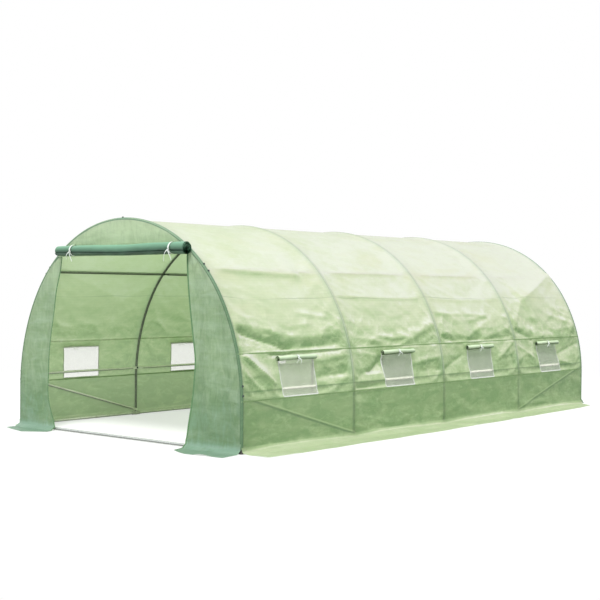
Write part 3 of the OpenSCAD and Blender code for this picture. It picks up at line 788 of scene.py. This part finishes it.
def makeCover():
    rng = np.random.default_rng(cover["seed"])
    s, y, held = coverGrid()
    size = rows, cols = len(s), len(y)
    bay = np.clip(((y - hoopY[0]) / bayLong).astype(int), 0, tunnel["bays"] - 1)
    part = np.clip((y - hoopY[bay]) / bayLong, 0, 1)
    swell = (4 * part * (1 - part))[None]  # nothing at the hoops, most in mid bay
    toHoop = np.abs(y[:, None] - hoopY[None]).min(1)
    sa = np.minimum(s, 2 * ridgeS - s)

    drop = np.where(held & (toHoop > 0.001), -cover["heldIn"], 0.0)
    drop[[0, -1]] = -cover["endIn"]
    x, z, nx, nz = arch(s, tunnel["sheetOut"])
    out = np.stack([nx, np.zeros(rows), nz], -1)[:, None]
    base = np.stack(np.broadcast_arrays(x[:, None], y[None], z[:, None]), -1) + out * drop[None, :, None]
    free = np.ones(size)
    free[:, held] = 0.0
    free[[0, -1]] = 0.0

    zone = np.where(sa < upperS, "haunch", "roof")
    zone = np.where(sa < seamS, "lower", np.where(sa < bandS, "band", zone))
    slackUp, slackAlong = (np.array([cover[key][k] for k in zone]) for key in ("slackUp", "slackAlong"))
    midUp = ((slackUp[1:] + slackUp[:-1]) / 2)[:, None]
    vary = 1.0 + 0.5 * softNoise(size, (14, 16), rng)
    restUp = np.diff(s)[:, None] * (1 + midUp * (0.25 + 0.75 * swell))
    restUp = restUp * (1 + midUp * 0.5 * swell * (vary[1:] - 1))
    restAlong = np.diff(y)[None] * (1 + slackAlong[:, None])
    restAlong = np.where((held[1:] & held[:-1])[None], np.diff(y)[None], restAlong)

    heaps = [share * np.exp(-((sa - at) / wide) ** 2) for at, wide, share in cover["loose"]]
    loose = np.max(heaps, 0)[:, None]
    rise = sum((low + more * loose) * softNoise(size, cells, rng) for cells, low, more in cover["rumple"])
    push = np.zeros_like(base)
    push[..., 2] = -cover["fall"]
    push -= out * (cover["suck"] * np.clip((1.0 - sa) / 0.3, 0, 1))[:, None, None]  # drawn in low down
    guard = coverGuard(s, y, base)
    steps = cover["steps"]
    made = settle(base + out * (rise * free)[..., None], free, restUp, restAlong, push, guard, steps)

    sag = made - base
    calm = sag.copy()
    for again in range(cover["calmPasses"]):  # stiff sheet keeps the broad sag and a little of the fine swags
        calm[1:-1] = (calm[2:] + 2 * calm[1:-1] + calm[:-2]) / 4
        calm[:, 1:-1] = (calm[:, 2:] + 2 * calm[:, 1:-1] + calm[:, :-2]) / 4
        calm *= free[..., None]
    made = base + calm + (sag - calm) * np.interp(sa, cover["fineAt"], cover["fine"])[:, None, None]
    still = np.clip(toHoop / cover["still"], 0, 1)[None]
    more, away = cover["beside"]
    beside = more * np.exp(-((toHoop - away) / away) ** 2)[None]
    few, most = cover["ridgeShare"]
    # the left side has the strokes turned end for end, and fainter
    for half, mirror, share in ((s <= ridgeS, 1.0, 1.0), (s > ridgeS, -1.0, cover["farShare"])):
        rise = share * strokes(sa[half], mirror * y)
        rise += cover["small"] * loose[half] * softNoise(rise.shape, (len(rise) // 3, cols // 3), rng)
        for cells, high in cover["ridges"]:
            ridged = (1 - np.minimum(np.abs(softNoise(rise.shape, cells, rng)) * cover["sharp"], 1)) ** 2
            rise += high * ridged * (few + most * loose[half] + beside * (sa[half] < upperS)[:, None])
        made[half] += out[half] * (rise * free[half] * still)[..., None]
    for again in range(cover["lastPasses"]):
        guard(made)
    lift = np.interp(sa, [sillS, headS, bandS, bandS + window["leanOver"]], window["leanUp"])[:, None]
    for m, lean in zip(bayMiddle, window["lean"]):  # the windows lean a little towards the door
        made[..., 1] += lean * lift * np.exp(-((y - m) / window["leanWide"]) ** 4)[None] * free
    return s, y, made


coverS, coverY, coverAt = makeCover()
print("cover settled,", coverAt.shape[0], "by", coverAt.shape[1], "points")


skirt = {"seed": 3, "seeds": (21, 22), "wide": 0.305, "backWide": 0.19, "narrowFrom": -0.6, "narrowOver": 3.2,
         "cutWave": 0.012, "backCut": ([2.6, 3.0], [1.0, 0.72]), "leftCut": ([-3.0, -2.5], [0.35, 1.0]),
         "turnOut": [0.004, 0.008, 0.013, 0.024], "cells": 11, "creaseLow": 0.010, "creaseRise": 0.026,
         "wave": 0.010, "slope": 0.10}
hem = {"cells": 12, "wave": 0.012, "small": 0.006, "rise": 1.4, "lie": 0.003, "waveFrom": 0.12, "cut": 0.985}


def hemWaves(cells, n, seed):
    rng = np.random.default_rng(seed)
    return [softNoise((cells + 1, n), grid, rng) for grid in ((3, max(6, n // 9)), (5, max(8, n // 4)))]


def hemHeight(fall, down, high, wave, small, d):
    # how high cloth lies that comes down from a fall and then follows the waves
    ripple = (high * wave + hem["small"] * small) * np.clip(d / hem["waveFrom"], 0, 1)
    return np.maximum(fall * (1 - ease(down)) + np.maximum(ripple, 0.0) * hem["rise"], hem["lie"])


def hemRow(edge, away, d, z):
    row = edge + away * d[:, None]
    row[:, 2] = z
    return row


def groundSkirt(edge, away, widths, seed):
    # a hem that follows the wall down, turns out and lies in waves; it drops lowest at the hoops
    turnOut, turned = skirt["turnOut"], len(skirt["turnOut"])
    n, cells = len(edge), skirt["cells"] + turned
    wave, small = hemWaves(cells, n, seed)
    part = ((edge[:, 1] - hoopY[0]) / bayLong) % 1.0
    swell = np.clip(4 * part * (1 - part), 0, 1)
    crease = skirt["creaseLow"] + skirt["creaseRise"] * swell * (0.75 + 0.4 * wave[0])
    made = []
    for k, d in enumerate(turnOut, 1):
        z = tunnel["fold"] + (crease - tunnel["fold"]) * (k / turned)
        made.append(hemRow(edge, away, np.full(n, d), z))
    for k in range(turned + 1, cells + 1):
        d = turnOut[-1] + (widths - turnOut[-1]) * (k - turned) / skirt["cells"]
        down = np.clip((d - turnOut[-1]) / skirt["slope"], 0, 1)
        z = hemHeight(crease, down, skirt["wave"], wave[k], small[k], d)
        made.append(hemRow(edge, away, d * hem["cut"] + hem["small"] * small[k], z))
    return np.stack(made)


def slopedHem(edge, away, widths, seed, slope, fall):
    # a hem that leaves the wall, slopes to the ground and lies there in waves
    wave, small = hemWaves(hem["cells"], len(edge), seed)
    made = []
    for k in range(1, hem["cells"] + 1):
        d = widths * k / hem["cells"]
        z = hemHeight(fall, np.clip(d / slope, 0, 1), hem["wave"], wave[k], small[k], d)
        made.append(hemRow(edge, away, d * hem["cut"] + hem["small"] * small[k], z))
    return np.stack(made)


def coverPaintedLight(points, runS):
    # painted light: paler up the arch, on folds that face up or to the back, towards the back and on cloth
    # lying on the ground; folds that turn away keep their green
    fromGround = np.minimum(runS, 2 * ridgeS - runS)[:, None]
    plain = arch(np.clip(runS, 0, 2 * ridgeS))[3][:, None]
    facing = gridNormals(points)
    sky = np.interp(fromGround, cover["paintedLightAt"], cover["paintedLight"])
    sky = sky + cover["foldUp"] * (facing[..., 2] - plain) + cover["foldBack"] * facing[..., 1]
    rules = cover["paler"]
    start = np.where(coverY > 0, rules["back"], rules["front"])[None]
    paler = rules["roof"] * np.clip((fromGround - start) / rules["over"], 0, 1)
    paler = paler + np.where(fromGround < seamS, rules["low"], 0.0)
    sky = np.clip(sky + paler * coverY[None] / tunnel["length"], 0, 1)
    more, most = cover["lying"]
    return np.where(fromGround < 0.005, np.minimum(sky + more, most), sky)


def finishCover():
    rng = np.random.default_rng(skirt["seed"])
    lying = skirt["wide"] - skirt["turnOut"][-1]
    turned = np.linspace(0, tunnel["fold"], len(skirt["turnOut"]) + 1)[1:]
    flatRun = lying * np.arange(1, skirt["cells"] + 1) / skirt["cells"]
    hemRun = np.concatenate([turned, tunnel["fold"] + flatRun])
    narrow = np.clip((coverY - skirt["narrowFrom"]) / skirt["narrowOver"], 0, 1)  # narrower towards the back
    widths = skirt["wide"] + (skirt["backWide"] - skirt["wide"]) * narrow
    widths = widths + skirt["cutWave"] * softNoise((2, len(coverY)), (1, 26), rng)[0]
    widths = widths * np.interp(coverY, *skirt["backCut"])
    right = groundSkirt(coverAt[0], np.array([1.0, 0, 0]), widths, skirt["seeds"][0])
    widths = widths * np.interp(coverY, *skirt["leftCut"])
    left = groundSkirt(coverAt[-1], np.array([-1.0, 0, 0]), widths, skirt["seeds"][1])
    points = np.concatenate([right[::-1], coverAt, left])
    runS = np.concatenate([coverS[0] - hemRun[::-1], coverS, coverS[-1] + hemRun])
    uv = flatGrid(runS[:, None], coverY[None])
    keep = np.ones((len(points) - 1, len(coverY) - 1), bool)
    holes, w = [], tunnel["windowWide"] / 2
    for lowAt, highAt in ((sillS, headS), (2 * ridgeS - headS, 2 * ridgeS - sillS)):
        i, j = nearest(runS, lowAt), nearest(runS, highAt)
        for m in bayMiddle:
            k, l = nearest(coverY, m - w), nearest(coverY, m + w)
            keep[i:j, k:l] = False
            holes.append((i, j, k, l))
    piece = gridPiece("tunnelCover", points, greenSheet, uv, coverPaintedLight(points, runS), keep)
    return piece, points, uv, runS, holes


tunnelCover, coverAll, coverUv, coverRun, windowHoles = finishCover()
coverNormals = gridNormals(coverAll)
print("cover made,", len(tunnelCover.data.polygons) * 2, "triangles")


# window screens with their borders

def hangScreens(name, borderName, holes, node):
    screens, borders = [], []
    for i, j, k, l in holes:
        up, along = slice(i, j + 1), slice(k, l + 1)
        screens.append((coverAll[up, along], coverUv[up, along]))
        for at in ((up, k), (up, l), (i, along), (j, along)):
            borders.append(ribbon(coverAll[at], coverNormals[at], window["border"], window["lift"]))
    piece = gather(name, screens, windowMesh)
    border = gather(borderName, borders, borderTape)
    fasten(piece, "window_mesh", node)
    fasten(border, "white_tape")
    headS - sillS


hangScreens("rightWindowScreens", "rightWindowBorders", windowHoles[:tunnel["bays"]], "right_window_screens")
hangScreens("leftWindowScreens", "leftWindowBorders", windowHoles[tunnel["bays"]:], "left_window_screens")
print("screens hung")


# trees of nodes that repeat a small shape or follow a line

def newNodes(name, **inputs):
    group = bpy.data.node_groups.new(name, "GeometryNodeTree")
    for label, kind in {"Geometry": "Geometry", **inputs}.items():
        group.interface.new_socket(label, in_out="INPUT", socket_type="NodeSocket" + kind)
    group.interface.new_socket("Geometry", in_out="OUTPUT", socket_type="NodeSocketGeometry")
    t = Tree(group)
    given = t.node("NodeGroupInput").socket.node
    return group, t, {socket.name: Val(t, socket) for socket in given.outputs if socket.name}


def closeNodes(t, geometry, finish):
    real = t.node("GeometryNodeRealizeInstances", {0: geometry})
    painted = t.node("GeometryNodeSetMaterial", {"Geometry": real, "Material": finish})
    t.node("NodeGroupOutput", {"Geometry": painted})


def growNodes(piece, group, values):
    grown = piece.modifiers.new("grown", "NODES")
    grown.node_group = group
    for item in group.interface.items_tree:
        if item.in_out == "INPUT" and item.name in values:
            grown[item.identifier] = values[item.name]
    done = bpy.data.meshes.new_from_object(piece.evaluated_get(bpy.context.evaluated_depsgraph_get()))
    piece.modifiers.clear()
    piece.data = done
    return piece


def linePiece(name, paths, aims=None):
    points, edges = [], []
    for path in paths:
        start = len(points)
        points += np.asarray(path, float).tolist()
        edges += [(start + i, start + i + 1) for i in range(len(path) - 1)]
    mesh = bpy.data.meshes.new(name)
    mesh.from_pydata(points, edges, [])
    if aims is not None:
        aim = mesh.attributes.new("aim", "FLOAT_VECTOR", "POINT")
        aim.data.foreach_set("vector", np.asarray(aims, np.float32).ravel())
    piece = bpy.data.objects.new(name, mesh)
    scene.collection.objects.link(piece)
    return piece


def stitchNodes():
    group, t, given = newNodes("stitchRun", Pitch="Float", Long="Float", Wide="Float")
    line = t.node("GeometryNodeMeshToCurve", {0: given["Geometry"]})
    spaced = t.node("GeometryNodeResampleCurve", {"Curve": line, "Length": given["Pitch"]}, mode="LENGTH")
    size = t.node("ShaderNodeCombineXYZ", {0: given["Long"], 1: given["Wide"], 2: given["Wide"]})
    thread = t.node("GeometryNodeMeshCube", {"Size": size})
    tangent = t.node("GeometryNodeInputTangent")
    turn = t.node("FunctionNodeAlignRotationToVector", {"Vector": tangent}, axis="X")
    laid = t.node("GeometryNodeInstanceOnPoints", {"Points": spaced, "Instance": thread, "Rotation": turn})
    closeNodes(t, laid, seamThread)
    return group


def wrapNodes():
    group, t, given = newNodes("hoopWrap", Radius="Float", Sides="Int")
    line = t.node("GeometryNodeMeshToCurve", {0: given["Geometry"]})
    size = {"Resolution": given["Sides"], "Radius": given["Radius"]}
    ring = t.node("GeometryNodeCurvePrimitiveCircle", size, mode="RADIUS")
    tube = t.node("GeometryNodeCurveToMesh", {"Curve": line, "Profile Curve": ring})
    closeNodes(t, t.node("GeometryNodeSetShadeSmooth", {0: tube}), bindTape)
    return group


def boltNodes():
    group, t, given = newNodes("boltSet", Head="Float", Tall="Float", Washer="Float")

    def cylinder(sides, radius, depth):
        return t.node("GeometryNodeMeshCylinder", {"Vertices": sides, "Radius": radius, "Depth": depth})

    head = cylinder(6, given["Head"], given["Tall"])
    liftBy = t.node("ShaderNodeCombineXYZ", {2: given["Tall"] * 0.5 + 0.0012})
    raised = t.node("GeometryNodeTransform", {"Geometry": head, "Translation": liftBy})
    disc = cylinder(16, given["Washer"], 0.0016)
    stem = cylinder(8, given["Head"] * 0.5, given["Tall"] * 2.4)
    whole = t.node("GeometryNodeJoinGeometry")
    for part in (stem, disc, raised):
        t.nodeTree.links.new(part.socket, whole.socket.node.inputs[0])
    aim = t.node("GeometryNodeInputNamedAttribute", {"Name": "aim"}, data_type="FLOAT_VECTOR")
    turn = t.node("FunctionNodeAlignRotationToVector", {"Vector": aim}, axis="Z")
    places = given["Geometry"]
    laid = t.node("GeometryNodeInstanceOnPoints", {"Points": places, "Instance": whole, "Rotation": turn})
    closeNodes(t, laid, boltFinish)
    return group


seam = {"wide": 0.012, "lift": 0.0016, "stitchIn": 0.66, "stitchLift": 0.0006,
        "stitch": {"Pitch": 0.014, "Long": 0.009, "Wide": 0.0015}}
binding = {"low": 0.03, "points": 240, "past": 0.0015, "in": 0.001, "thick": 0.0020, "sides": 16}


def sewSeams():
    strips, threads = [], []
    for at in seamAt:
        i = nearest(coverRun, at)
        on = coverAll[i], coverNormals[i]
        strips.append(ribbon(*on, seam["wide"], seam["lift"]))
        inner = ribbon(*on, seam["wide"] * seam["stitchIn"], seam["lift"] + seam["stitchLift"])[0]
        threads += [inner[:, 0], inner[:, -1]]
    tape = gather("seamTapes", strips, seamTape)
    stitches = growNodes(linePiece("seamStitches", threads), stitchNodes(), seam["stitch"])
    fasten(tape, "green_sheet")
    fasten(stitches, "white_tape")
    return [tape, stitches]


def bindHoops():
    radius = tunnel["tube"] / 2
    x, z, nx, nz = arch(np.linspace(binding["low"], 2 * ridgeS - binding["low"], binding["points"]),
                        -radius + binding["in"])
    paths = [np.stack([x, np.full_like(x, y), z], 1)
             for y in (hoopY[0] - binding["past"], hoopY[-1] + binding["past"])]
    wraps = growNodes(linePiece("hoopBindings", paths), wrapNodes(),
                      {"Radius": radius + binding["thick"], "Sides": binding["sides"]})
    fasten(wraps, "end_sheet")
    return wraps


coverTrim = sewSeams() + [bindHoops()]
fasten(tunnelCover, "green_sheet", "left_lower_cover", "right_lower_cover", "left_window_band",
       "right_window_band", "left_haunch_cover", "right_haunch_cover", "left_roof_cover", "right_roof_cover",
       "left_skirt", "right_skirt")
coverFlat = (2 * ridgeS + 2 * (skirt["wide"] - skirt["turnOut"][-1]), tunnel["length"])
windowArea = len(windowHoles) * tunnel["windowWide"] * (headS - sillS)
coverFlat[0] * coverFlat[1] - windowArea
print("seams and stitches sewn")


# ends: two wings, the fixed panel over the door and the back wall

wing = {"rows": 60, "cols": 26, "fold": 0.016, "low": 0.032, "over": 0.02, "slope": 0.07, "wide": 0.75,
        "hemTape": 0.016, "hemLift": 0.0016, "cutWave": 0.012, "pleats": 3.1, "bow": 0.010,
        "inwardAt": [0.06, 0.22], "inward": [-3.008, -2.972]}  # in front of the rail low down
# an edge has heights and distances from the middle; splay and hem go from the free edge to the hoop
leftWing = {"seed": 14, "splay": (-0.04, 0.0), "hem": (0.13, 0.28, 0.17),
            "edge": [(0.03, 0.925), (0.19, 1.026), (0.33, 1.08), (0.67, 1.06), (1.0, 1.0), (1.34, 0.944),
                     (1.53, 0.884), (1.66, 0.855)]}
rightWing = {"seed": 17, "splay": (0.06, 0.04), "hem": (0.20, 0.30, 0.25),
             "edge": [(0.0, 0.847), (0.15, 0.864), (0.24, 0.882), (0.5, 0.922), (0.75, 0.938), (0.88, 0.919),
                      (1.14, 0.886), (1.27, 0.873), (1.65, 0.851)]}
frontY, backY = -(endY + tunnel["endOut"]), endY + tunnel["endOut"]


def endPaintedLight(run, cols):
    # painted light: the end sheets' paleness by height
    return np.interp(run, endLook["paintedLightAt"], endLook["paintedLight"])[:, None] * np.ones(cols)[None]


def hangWing(name, side, rules, *replaced):
    # a loose sheet beside the doorway, in soft pleats, with its hem on the ground
    seed, splay, hemWide = rules["seed"], rules["splay"], rules["hem"]
    rng = np.random.default_rng(seed)
    n, m = wing["rows"], wing["cols"]
    z = np.linspace(wing["low"], tunnel["doorHigh"] + wing["over"], n + 1)
    inner = np.interp(z, *zip(*rules["edge"]))
    inner = np.convolve(np.pad(inner, 3, mode="edge"), np.ones(7) / 7, "valid")
    outer = archWidth(z) - tunnel["edgeIn"]
    u = np.linspace(0, 1, m + 1)
    x = inner[:, None] + (outer - inner)[:, None] * u[None]
    loose = ((1 - u) ** 0.8 * np.clip(1.15 - np.abs(u - 0.45) * 0.6, 0, 1))[None]
    pleat = np.sin(2 * np.pi * (x * wing["pleats"] + 0.10 * np.sin(2.3 * z)[:, None]) + seed)
    pleat = pleat * (0.4 + 0.6 * np.clip(z, 0, 1.2)[::-1, None] / 1.2)
    crease = softNoise((n + 1, m + 1), (9, 5), rng)
    y = frontY - wing["fold"] * (0.55 * pleat + 0.6 * crease) * loose + wing["bow"] * loose
    inward = np.interp(z, wing["inwardAt"], wing["inward"])[:, None]
    y = np.minimum(y, np.where(u[None] > 0.8, np.minimum(frontY, inward), inward))
    points = np.stack([side * x, y, np.broadcast_to(z[:, None], x.shape)], -1)
    widths = np.interp(u, [0.0, 0.35, 1.0], hemWide)  # cut short at its ends
    waved = widths + wing["cutWave"] * softNoise((2, m + 1), (1, 6), rng)[0]
    lying = slopedHem(points[0], np.array([0.0, -1.0, 0.0]), waved, seed + 3, wing["slope"], wing["low"])
    steps = np.arange(1, hem["cells"] + 1)
    spreadOut = splay[0] + (splay[1] - splay[0]) * u[None] ** 1.6
    lying[..., 0] += side * (steps / hem["cells"])[:, None] * spreadOut
    whole = np.concatenate([lying[::-1], points])
    run = np.concatenate([-steps[::-1] * hemWide[1] / hem["cells"], z])
    uv = flatGrid(run[:, None], whole[..., 0])
    if side < 0:
        whole, uv = whole[:, ::-1], uv[:, ::-1]
    cols = m + 1
    piece = gridPiece(name, whole, endSheet, uv, endPaintedLight(run, cols))
    free = 0 if side > 0 else cols - 1
    trim = ribbon(whole[:, free], gridNormals(whole)[:, free], wing["hemTape"], wing["hemLift"])
    trim = gather(name + "Hem", [trim], hemTape)
    fasten(trim, "end_sheet")
    fasten(piece, "end_sheet", *replaced)


hangWing("frontLeftWing", -1, leftWing, "front_left_wing", "front_left_skirt")
hangWing("frontRightWing", 1, rightWing, "front_right_wing", "front_right_skirt")

gable = {"y": frontY, "low": tunnel["doorHigh"], "seed": 31, "rows": 22, "cols": 64, "fold": 0.006,
         "hem": 0.0}
back = {"y": backY, "low": tunnel["fold"], "seed": 41, "rows": 70, "cols": 84, "fold": 0.016, "hem": 0.27,
        "slope": 0.09, "cutWave": 0.014, "cornerCut": ([0.85, 1.0], [1.0, 0.35])}


def archPanel(name, rules, hoop, wide, *replaced):
    # a closed end under the arch, with its hem on the ground where it reaches down
    rng = np.random.default_rng(rules["seed"])
    shape = rules["rows"] + 1, rules["cols"] + 1
    z = np.linspace(rules["low"], tunnel["height"] - tunnel["crownIn"], shape[0])
    u = np.linspace(-1, 1, shape[1])
    x = (archWidth(z) - tunnel["edgeIn"])[:, None] * u[None]
    inside = np.clip((1 - u ** 2) * 2.2, 0, 1)[None] * np.clip((tunnel["height"] - z) / 0.25, 0, 1)[:, None]
    way = 1.0 if rules["y"] > 0 else -1.0
    depth = softNoise(shape, (7, 9), rng) + 0.5 * softNoise(shape, (16, 22), rng)
    y = rules["y"] + way * rules["fold"] * depth * inside
    points = np.stack([x, y, np.broadcast_to(z[:, None], x.shape)], -1)
    run = z
    if rules["hem"]:
        widths = rules["hem"] * np.interp(np.abs(u), *rules["cornerCut"])  # cut short at its ends
        widths = widths + rules["cutWave"] * softNoise((2, shape[1]), (1, 14), rng)[0]
        away = np.array([0.0, way, 0.0])
        lying = slopedHem(points[0], away, widths, rules["seed"] + 5, rules["slope"], rules["low"])
        points = np.concatenate([lying[::-1], points])
        steps = np.arange(hem["cells"], 0, -1)
        run = np.concatenate([rules["low"] - steps * rules["hem"] / hem["cells"], z])
    uv = flatGrid(run[:, None], points[..., 0])
    if way > 0:
        points, uv = points[:, ::-1], uv[:, ::-1]
    piece = gridPiece(name, points, endSheet, uv, endPaintedLight(run, shape[1]))
    fasten(piece, "end_sheet", *replaced)
    high = tunnel["height"] + rules["hem"] if rules["hem"] else tunnel["height"] - rules["low"]
    areaUnder(2 * archWidth(z), z) + rules["hem"] * wide


archPanel("frontGable", gable, "front_hoop", 2 * float(archWidth(tunnel["doorHigh"])), "front_gable")
archPanel("backWall", back, "back_hoop", tunnel["width"], "back_wall", "back_skirt")
print("ends hung")


# rolled door and rolled window flaps

doorRoll = {"turns": 4.6, "outer": 0.0555, "inner": 0.017, "in": 0.0525, "shift": 0.03, "ties": (-0.64, 0.69),
            "pinch": 0.10, "sag": 0.008, "taper": 0.08, "paintedLight": 1.7, "seed": 61, "cells": (120, 30),
            "start": 2.0}
flapRoll = {"turns": 2.6, "outer": 0.0255, "inner": 0.009, "in": 0.026, "shift": (-0.05, -0.04, -0.05, -0.09),
            "ties": (0.0,), "pinch": 0.16, "sag": 0.003, "taper": 0.0, "paintedLight": 1.0, "seed": 71,
            "cells": (40, 22), "start": 0.4, "turnOn": 0.5, "long": 0.50}
upWay = np.array([0.0, 0.0, 1.0])


def rolledSheet(middle, axis, long, rules, seed, startTurn):
    # a sheet wound into a roll: a spiral drawn in where it is tied, a little uneven along its length
    rng = np.random.default_rng(seed)
    axis = np.asarray(axis, float)
    side = np.cross(axis, upWay)
    cellsLong, cellsRound = rules["cells"]
    t = np.linspace(-long / 2, long / 2, cellsLong + 1)
    count = int(rules["turns"] * cellsRound)
    turn = np.linspace(0, rules["turns"] * 2 * np.pi, count + 1)
    radius = rules["inner"] + (rules["outer"] - rules["inner"]) * turn / turn[-1]
    lump = softNoise((cellsLong + 1, count + 1), (max(6, int(long / 0.09)), int(rules["turns"] * 5)), rng)
    slow = softNoise((cellsLong + 1, 2), (max(4, int(long / 0.25)), 1), rng)[:, :1]
    r = radius[None] * (1 + 0.035 * lump + 0.03 * slow) * (1 + rules["taper"] * t / (long / 2))[:, None]
    for at in rules["ties"]:
        r = r * (1 - rules["pinch"] * np.exp(-((t - at) / 0.028) ** 2))[:, None]
    ends = np.clip(np.abs(t) / (long / 2), 0, 1)[:, None] ** 6 * np.sign(t)[:, None]
    slip = 0.006 * np.sin(turn * 0.5 + seed)[None] * ends
    angle = turn[None] + startTurn + 0.10 * slow
    middles = np.asarray(middle, float)[None] + axis[None] * t[:, None]
    nearTie = np.min(np.abs(t[:, None] - np.asarray(rules["ties"])[None]), 1)
    middles[:, 2] -= rules["sag"] * np.clip(nearTie / (long / 3), 0, 1) ** 1.5
    points = middles[:, None] + axis * slip[..., None] + (r * np.cos(angle))[..., None] * side \
        + (r * np.sin(angle) * 0.96)[..., None] * upWay
    run = np.concatenate([[0.0], np.cumsum(np.hypot(np.diff(radius), radius[1:] * np.diff(turn)))])
    lit = (0.5 + 0.5 * np.sin(angle)) ** rules["paintedLight"]  # painted light on the top, painted shade on the underside
    return points, flatGrid(run[None], t[:, None]), float(run[-1]), np.broadcast_to(lit, r.shape)


def makeDoor():
    low, high = (np.array(v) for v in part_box("door_roll"))
    middle = np.array([doorRoll["shift"], low[1] + doorRoll["in"], (low[2] + high[2]) / 2])
    long = float(high[0] - low[0])
    seed, start = doorRoll["seed"], doorRoll["start"]
    points, uv, run, lit = rolledSheet(middle, (1.0, 0, 0), long, doorRoll, seed, start)
    door = gather("rolledDoor", [(points, uv)], doorSheet, lit)
    fasten(door, "door_sheet", "door_roll")
    return middle


def makeFlaps(name, node, side):
    low, high = (np.array(v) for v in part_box(node))
    x = high[0] - flapRoll["in"] if side > 0 else low[0] + flapRoll["in"]
    strips, middles, tops = [], [], []
    for k, m in enumerate(bayMiddle):
        at = np.array([x, m + flapRoll["shift"][k], (low[2] + high[2]) / 2])
        seed, start = flapRoll["seed"] + k + 5 * side, flapRoll["start"] + flapRoll["turnOn"] * k
        points, uv, run, lit = rolledSheet(at, (0, 1.0, 0), flapRoll["long"], flapRoll, seed, start)
        strips.append((points, uv))
        middles.append(at)
        tops.append(lit.ravel())
    flap = gather(name, strips, flapSheet, np.concatenate(tops))
    fasten(flap, "green_sheet", node)
    len(strips) * run
    return middles


doorMiddle = makeDoor()
flapMiddles = {1: makeFlaps("rightWindowFlaps", "right_window_rolls", 1),
               -1: makeFlaps("leftWindowFlaps", "left_window_rolls", -1)}
print("rolls made")


# white ties round the rolls, with a knot and two loose tails

tie = {"wide": 0.010, "tailWide": 0.008, "lift": 0.001, "tailLift": 0.0006, "doorTail": 0.105,
       "flapTail": 0.05, "doorOn": 0.93, "flapOn": 0.88, "doorSeed": 80, "flapSeed": 90, "knotTurn": -0.3}


def around(angle, first, second):
    return np.cos(angle)[:, None] * first + np.sin(angle)[:, None] * second


def tieStrips(middle, axis, radius, tail, seed):
    rng = np.random.default_rng(seed)
    axis = np.asarray(axis, float)
    front = np.cross(axis, upWay)
    if front @ (np.array(middle) * np.array([1.0, 1.0, 0.0])) < 0:
        front = -front
    strips = []
    a = np.linspace(0, 2 * np.pi, 41)
    for shift, more in ((-0.004, 0.0), (0.006, 0.0012)):  # twice round the roll
        way = around(a, front, upWay)
        ring = (radius + more) * way + axis * (shift + 0.004 * np.sin(a * 2 + seed))[:, None]
        strips.append(ribbon(middle + ring, way, tie["wide"], tie["lift"], np.repeat(axis[None], len(a), 0)))
    knot = tie["knotTurn"]
    knotAt = middle + front * (radius + 0.006) * math.cos(knot) + upWay * (radius + 0.004) * math.sin(knot)
    b = np.linspace(0, 3.0 * np.pi, 30)
    way = around(b, axis, upWay)
    coil = knotAt + (0.0075 + 0.0008 * b / np.pi)[:, None] * way + front * (0.002 * np.sin(b * 0.7))[:, None]
    strips.append(ribbon(coil, way, tie["wide"], tie["tailLift"], np.repeat(front[None], len(b), 0)))
    t = np.linspace(0, 1, 16)
    for k, lean in enumerate((-0.45 - 0.5 * rng.random(), 0.40 + 0.5 * rng.random())):
        length = tail * (0.8 + 0.35 * rng.random())
        drop = knotAt + axis * (lean * length * (t - 0.25 * t * t))[:, None] \
            - upWay * (length * 0.85 * t * (0.5 + 0.5 * t))[:, None] \
            + front * (0.010 * np.sin(np.pi * t) + 0.003 - 0.010 * t + 0.003 * k)[:, None]
        way = around(0.6 * np.sin(t * 3 + seed + k), front, upWay)
        strips.append(ribbon(drop, way, tie["tailWide"], tie["tailLift"]))
    return strips


def makeTies():
    strips = []
    for k, at in enumerate(doorRoll["ties"]):
        strips += tieStrips(doorMiddle + np.array([at, 0, 0]), (1.0, 0, 0), doorRoll["outer"] * tie["doorOn"],
                            tie["doorTail"], tie["doorSeed"] + k)
    for side, middles in flapMiddles.items():
        for k, at in enumerate(middles):
            strips += tieStrips(at, (0, 1.0, 0), flapRoll["outer"] * tie["flapOn"], tie["flapTail"],
                                tie["flapSeed"] + k + 7 * side)
    piece = gather("rollTies", strips, whiteTape)
    fasten(piece, "white_tape", "roll_ties")


makeTies()
print("ties made")


# bolts where the purlins meet the hoops, and nuts on the outside of the front hoop

bolts = {"size": {"Head": 0.0075, "Tall": 0.006, "Washer": 0.0105}, "inside": -0.0325, "outside": 0.004,
         "nuts": (-0.03, 0.05)}


def makeBolts():
    points, aims = [], []

    def place(s, out, y, way):
        x, z, nx, nz = (float(v) for v in arch(s, out))
        points.append((x, y, z))
        aims.append((way * nx, 0.0, way * nz))

    for y in hoopY:
        for at in purlinAt:
            place(at, bolts["inside"], y, -1)
    for at in purlinAt:  # these stand through the hoop's binding
        for shift in bolts["nuts"] if at != ridgeS else (0.0,):
            place(at + shift, bolts["outside"], hoopY[0], 1)
    piece = growNodes(linePiece("hoopBolts", [[p] for p in points], aims), boltNodes(), bolts["size"])
    fasten(piece, "steel_tube")


makeBolts()
print("bolts set")


# the tubes, rails and feet keep their own shapes; the first word found in a name sets the finish

# the galvanised copies are painted lighter or darker for the light on each tube
frameFinish = {"front_base": railSteel, "lower_purlin": paintedLitSteel, "brace": paintedLitSteel,
               "rail": paintedLitSteel, "hoop": steel, "purlin": steel, "feet": blackPlastic}

for name, node in nodes.items():
    finish = next((made for word, made in frameFinish.items() if word in name), None)
    if finish:
        node.data.materials.clear()
        node.data.materials.append(finish)
        # painted shade: each vertex stores how far it faces up, so the finish paints the tube undersides dark
        turn = node.matrix_world.to_3x3()
        facing = [(turn @ v.normal).normalized().z * 0.5 + 0.5 for v in node.data.vertices]
        node.data.attributes.new("sky", "FLOAT", "POINT").data.foreach_set("value", facing)
print("frame finished")
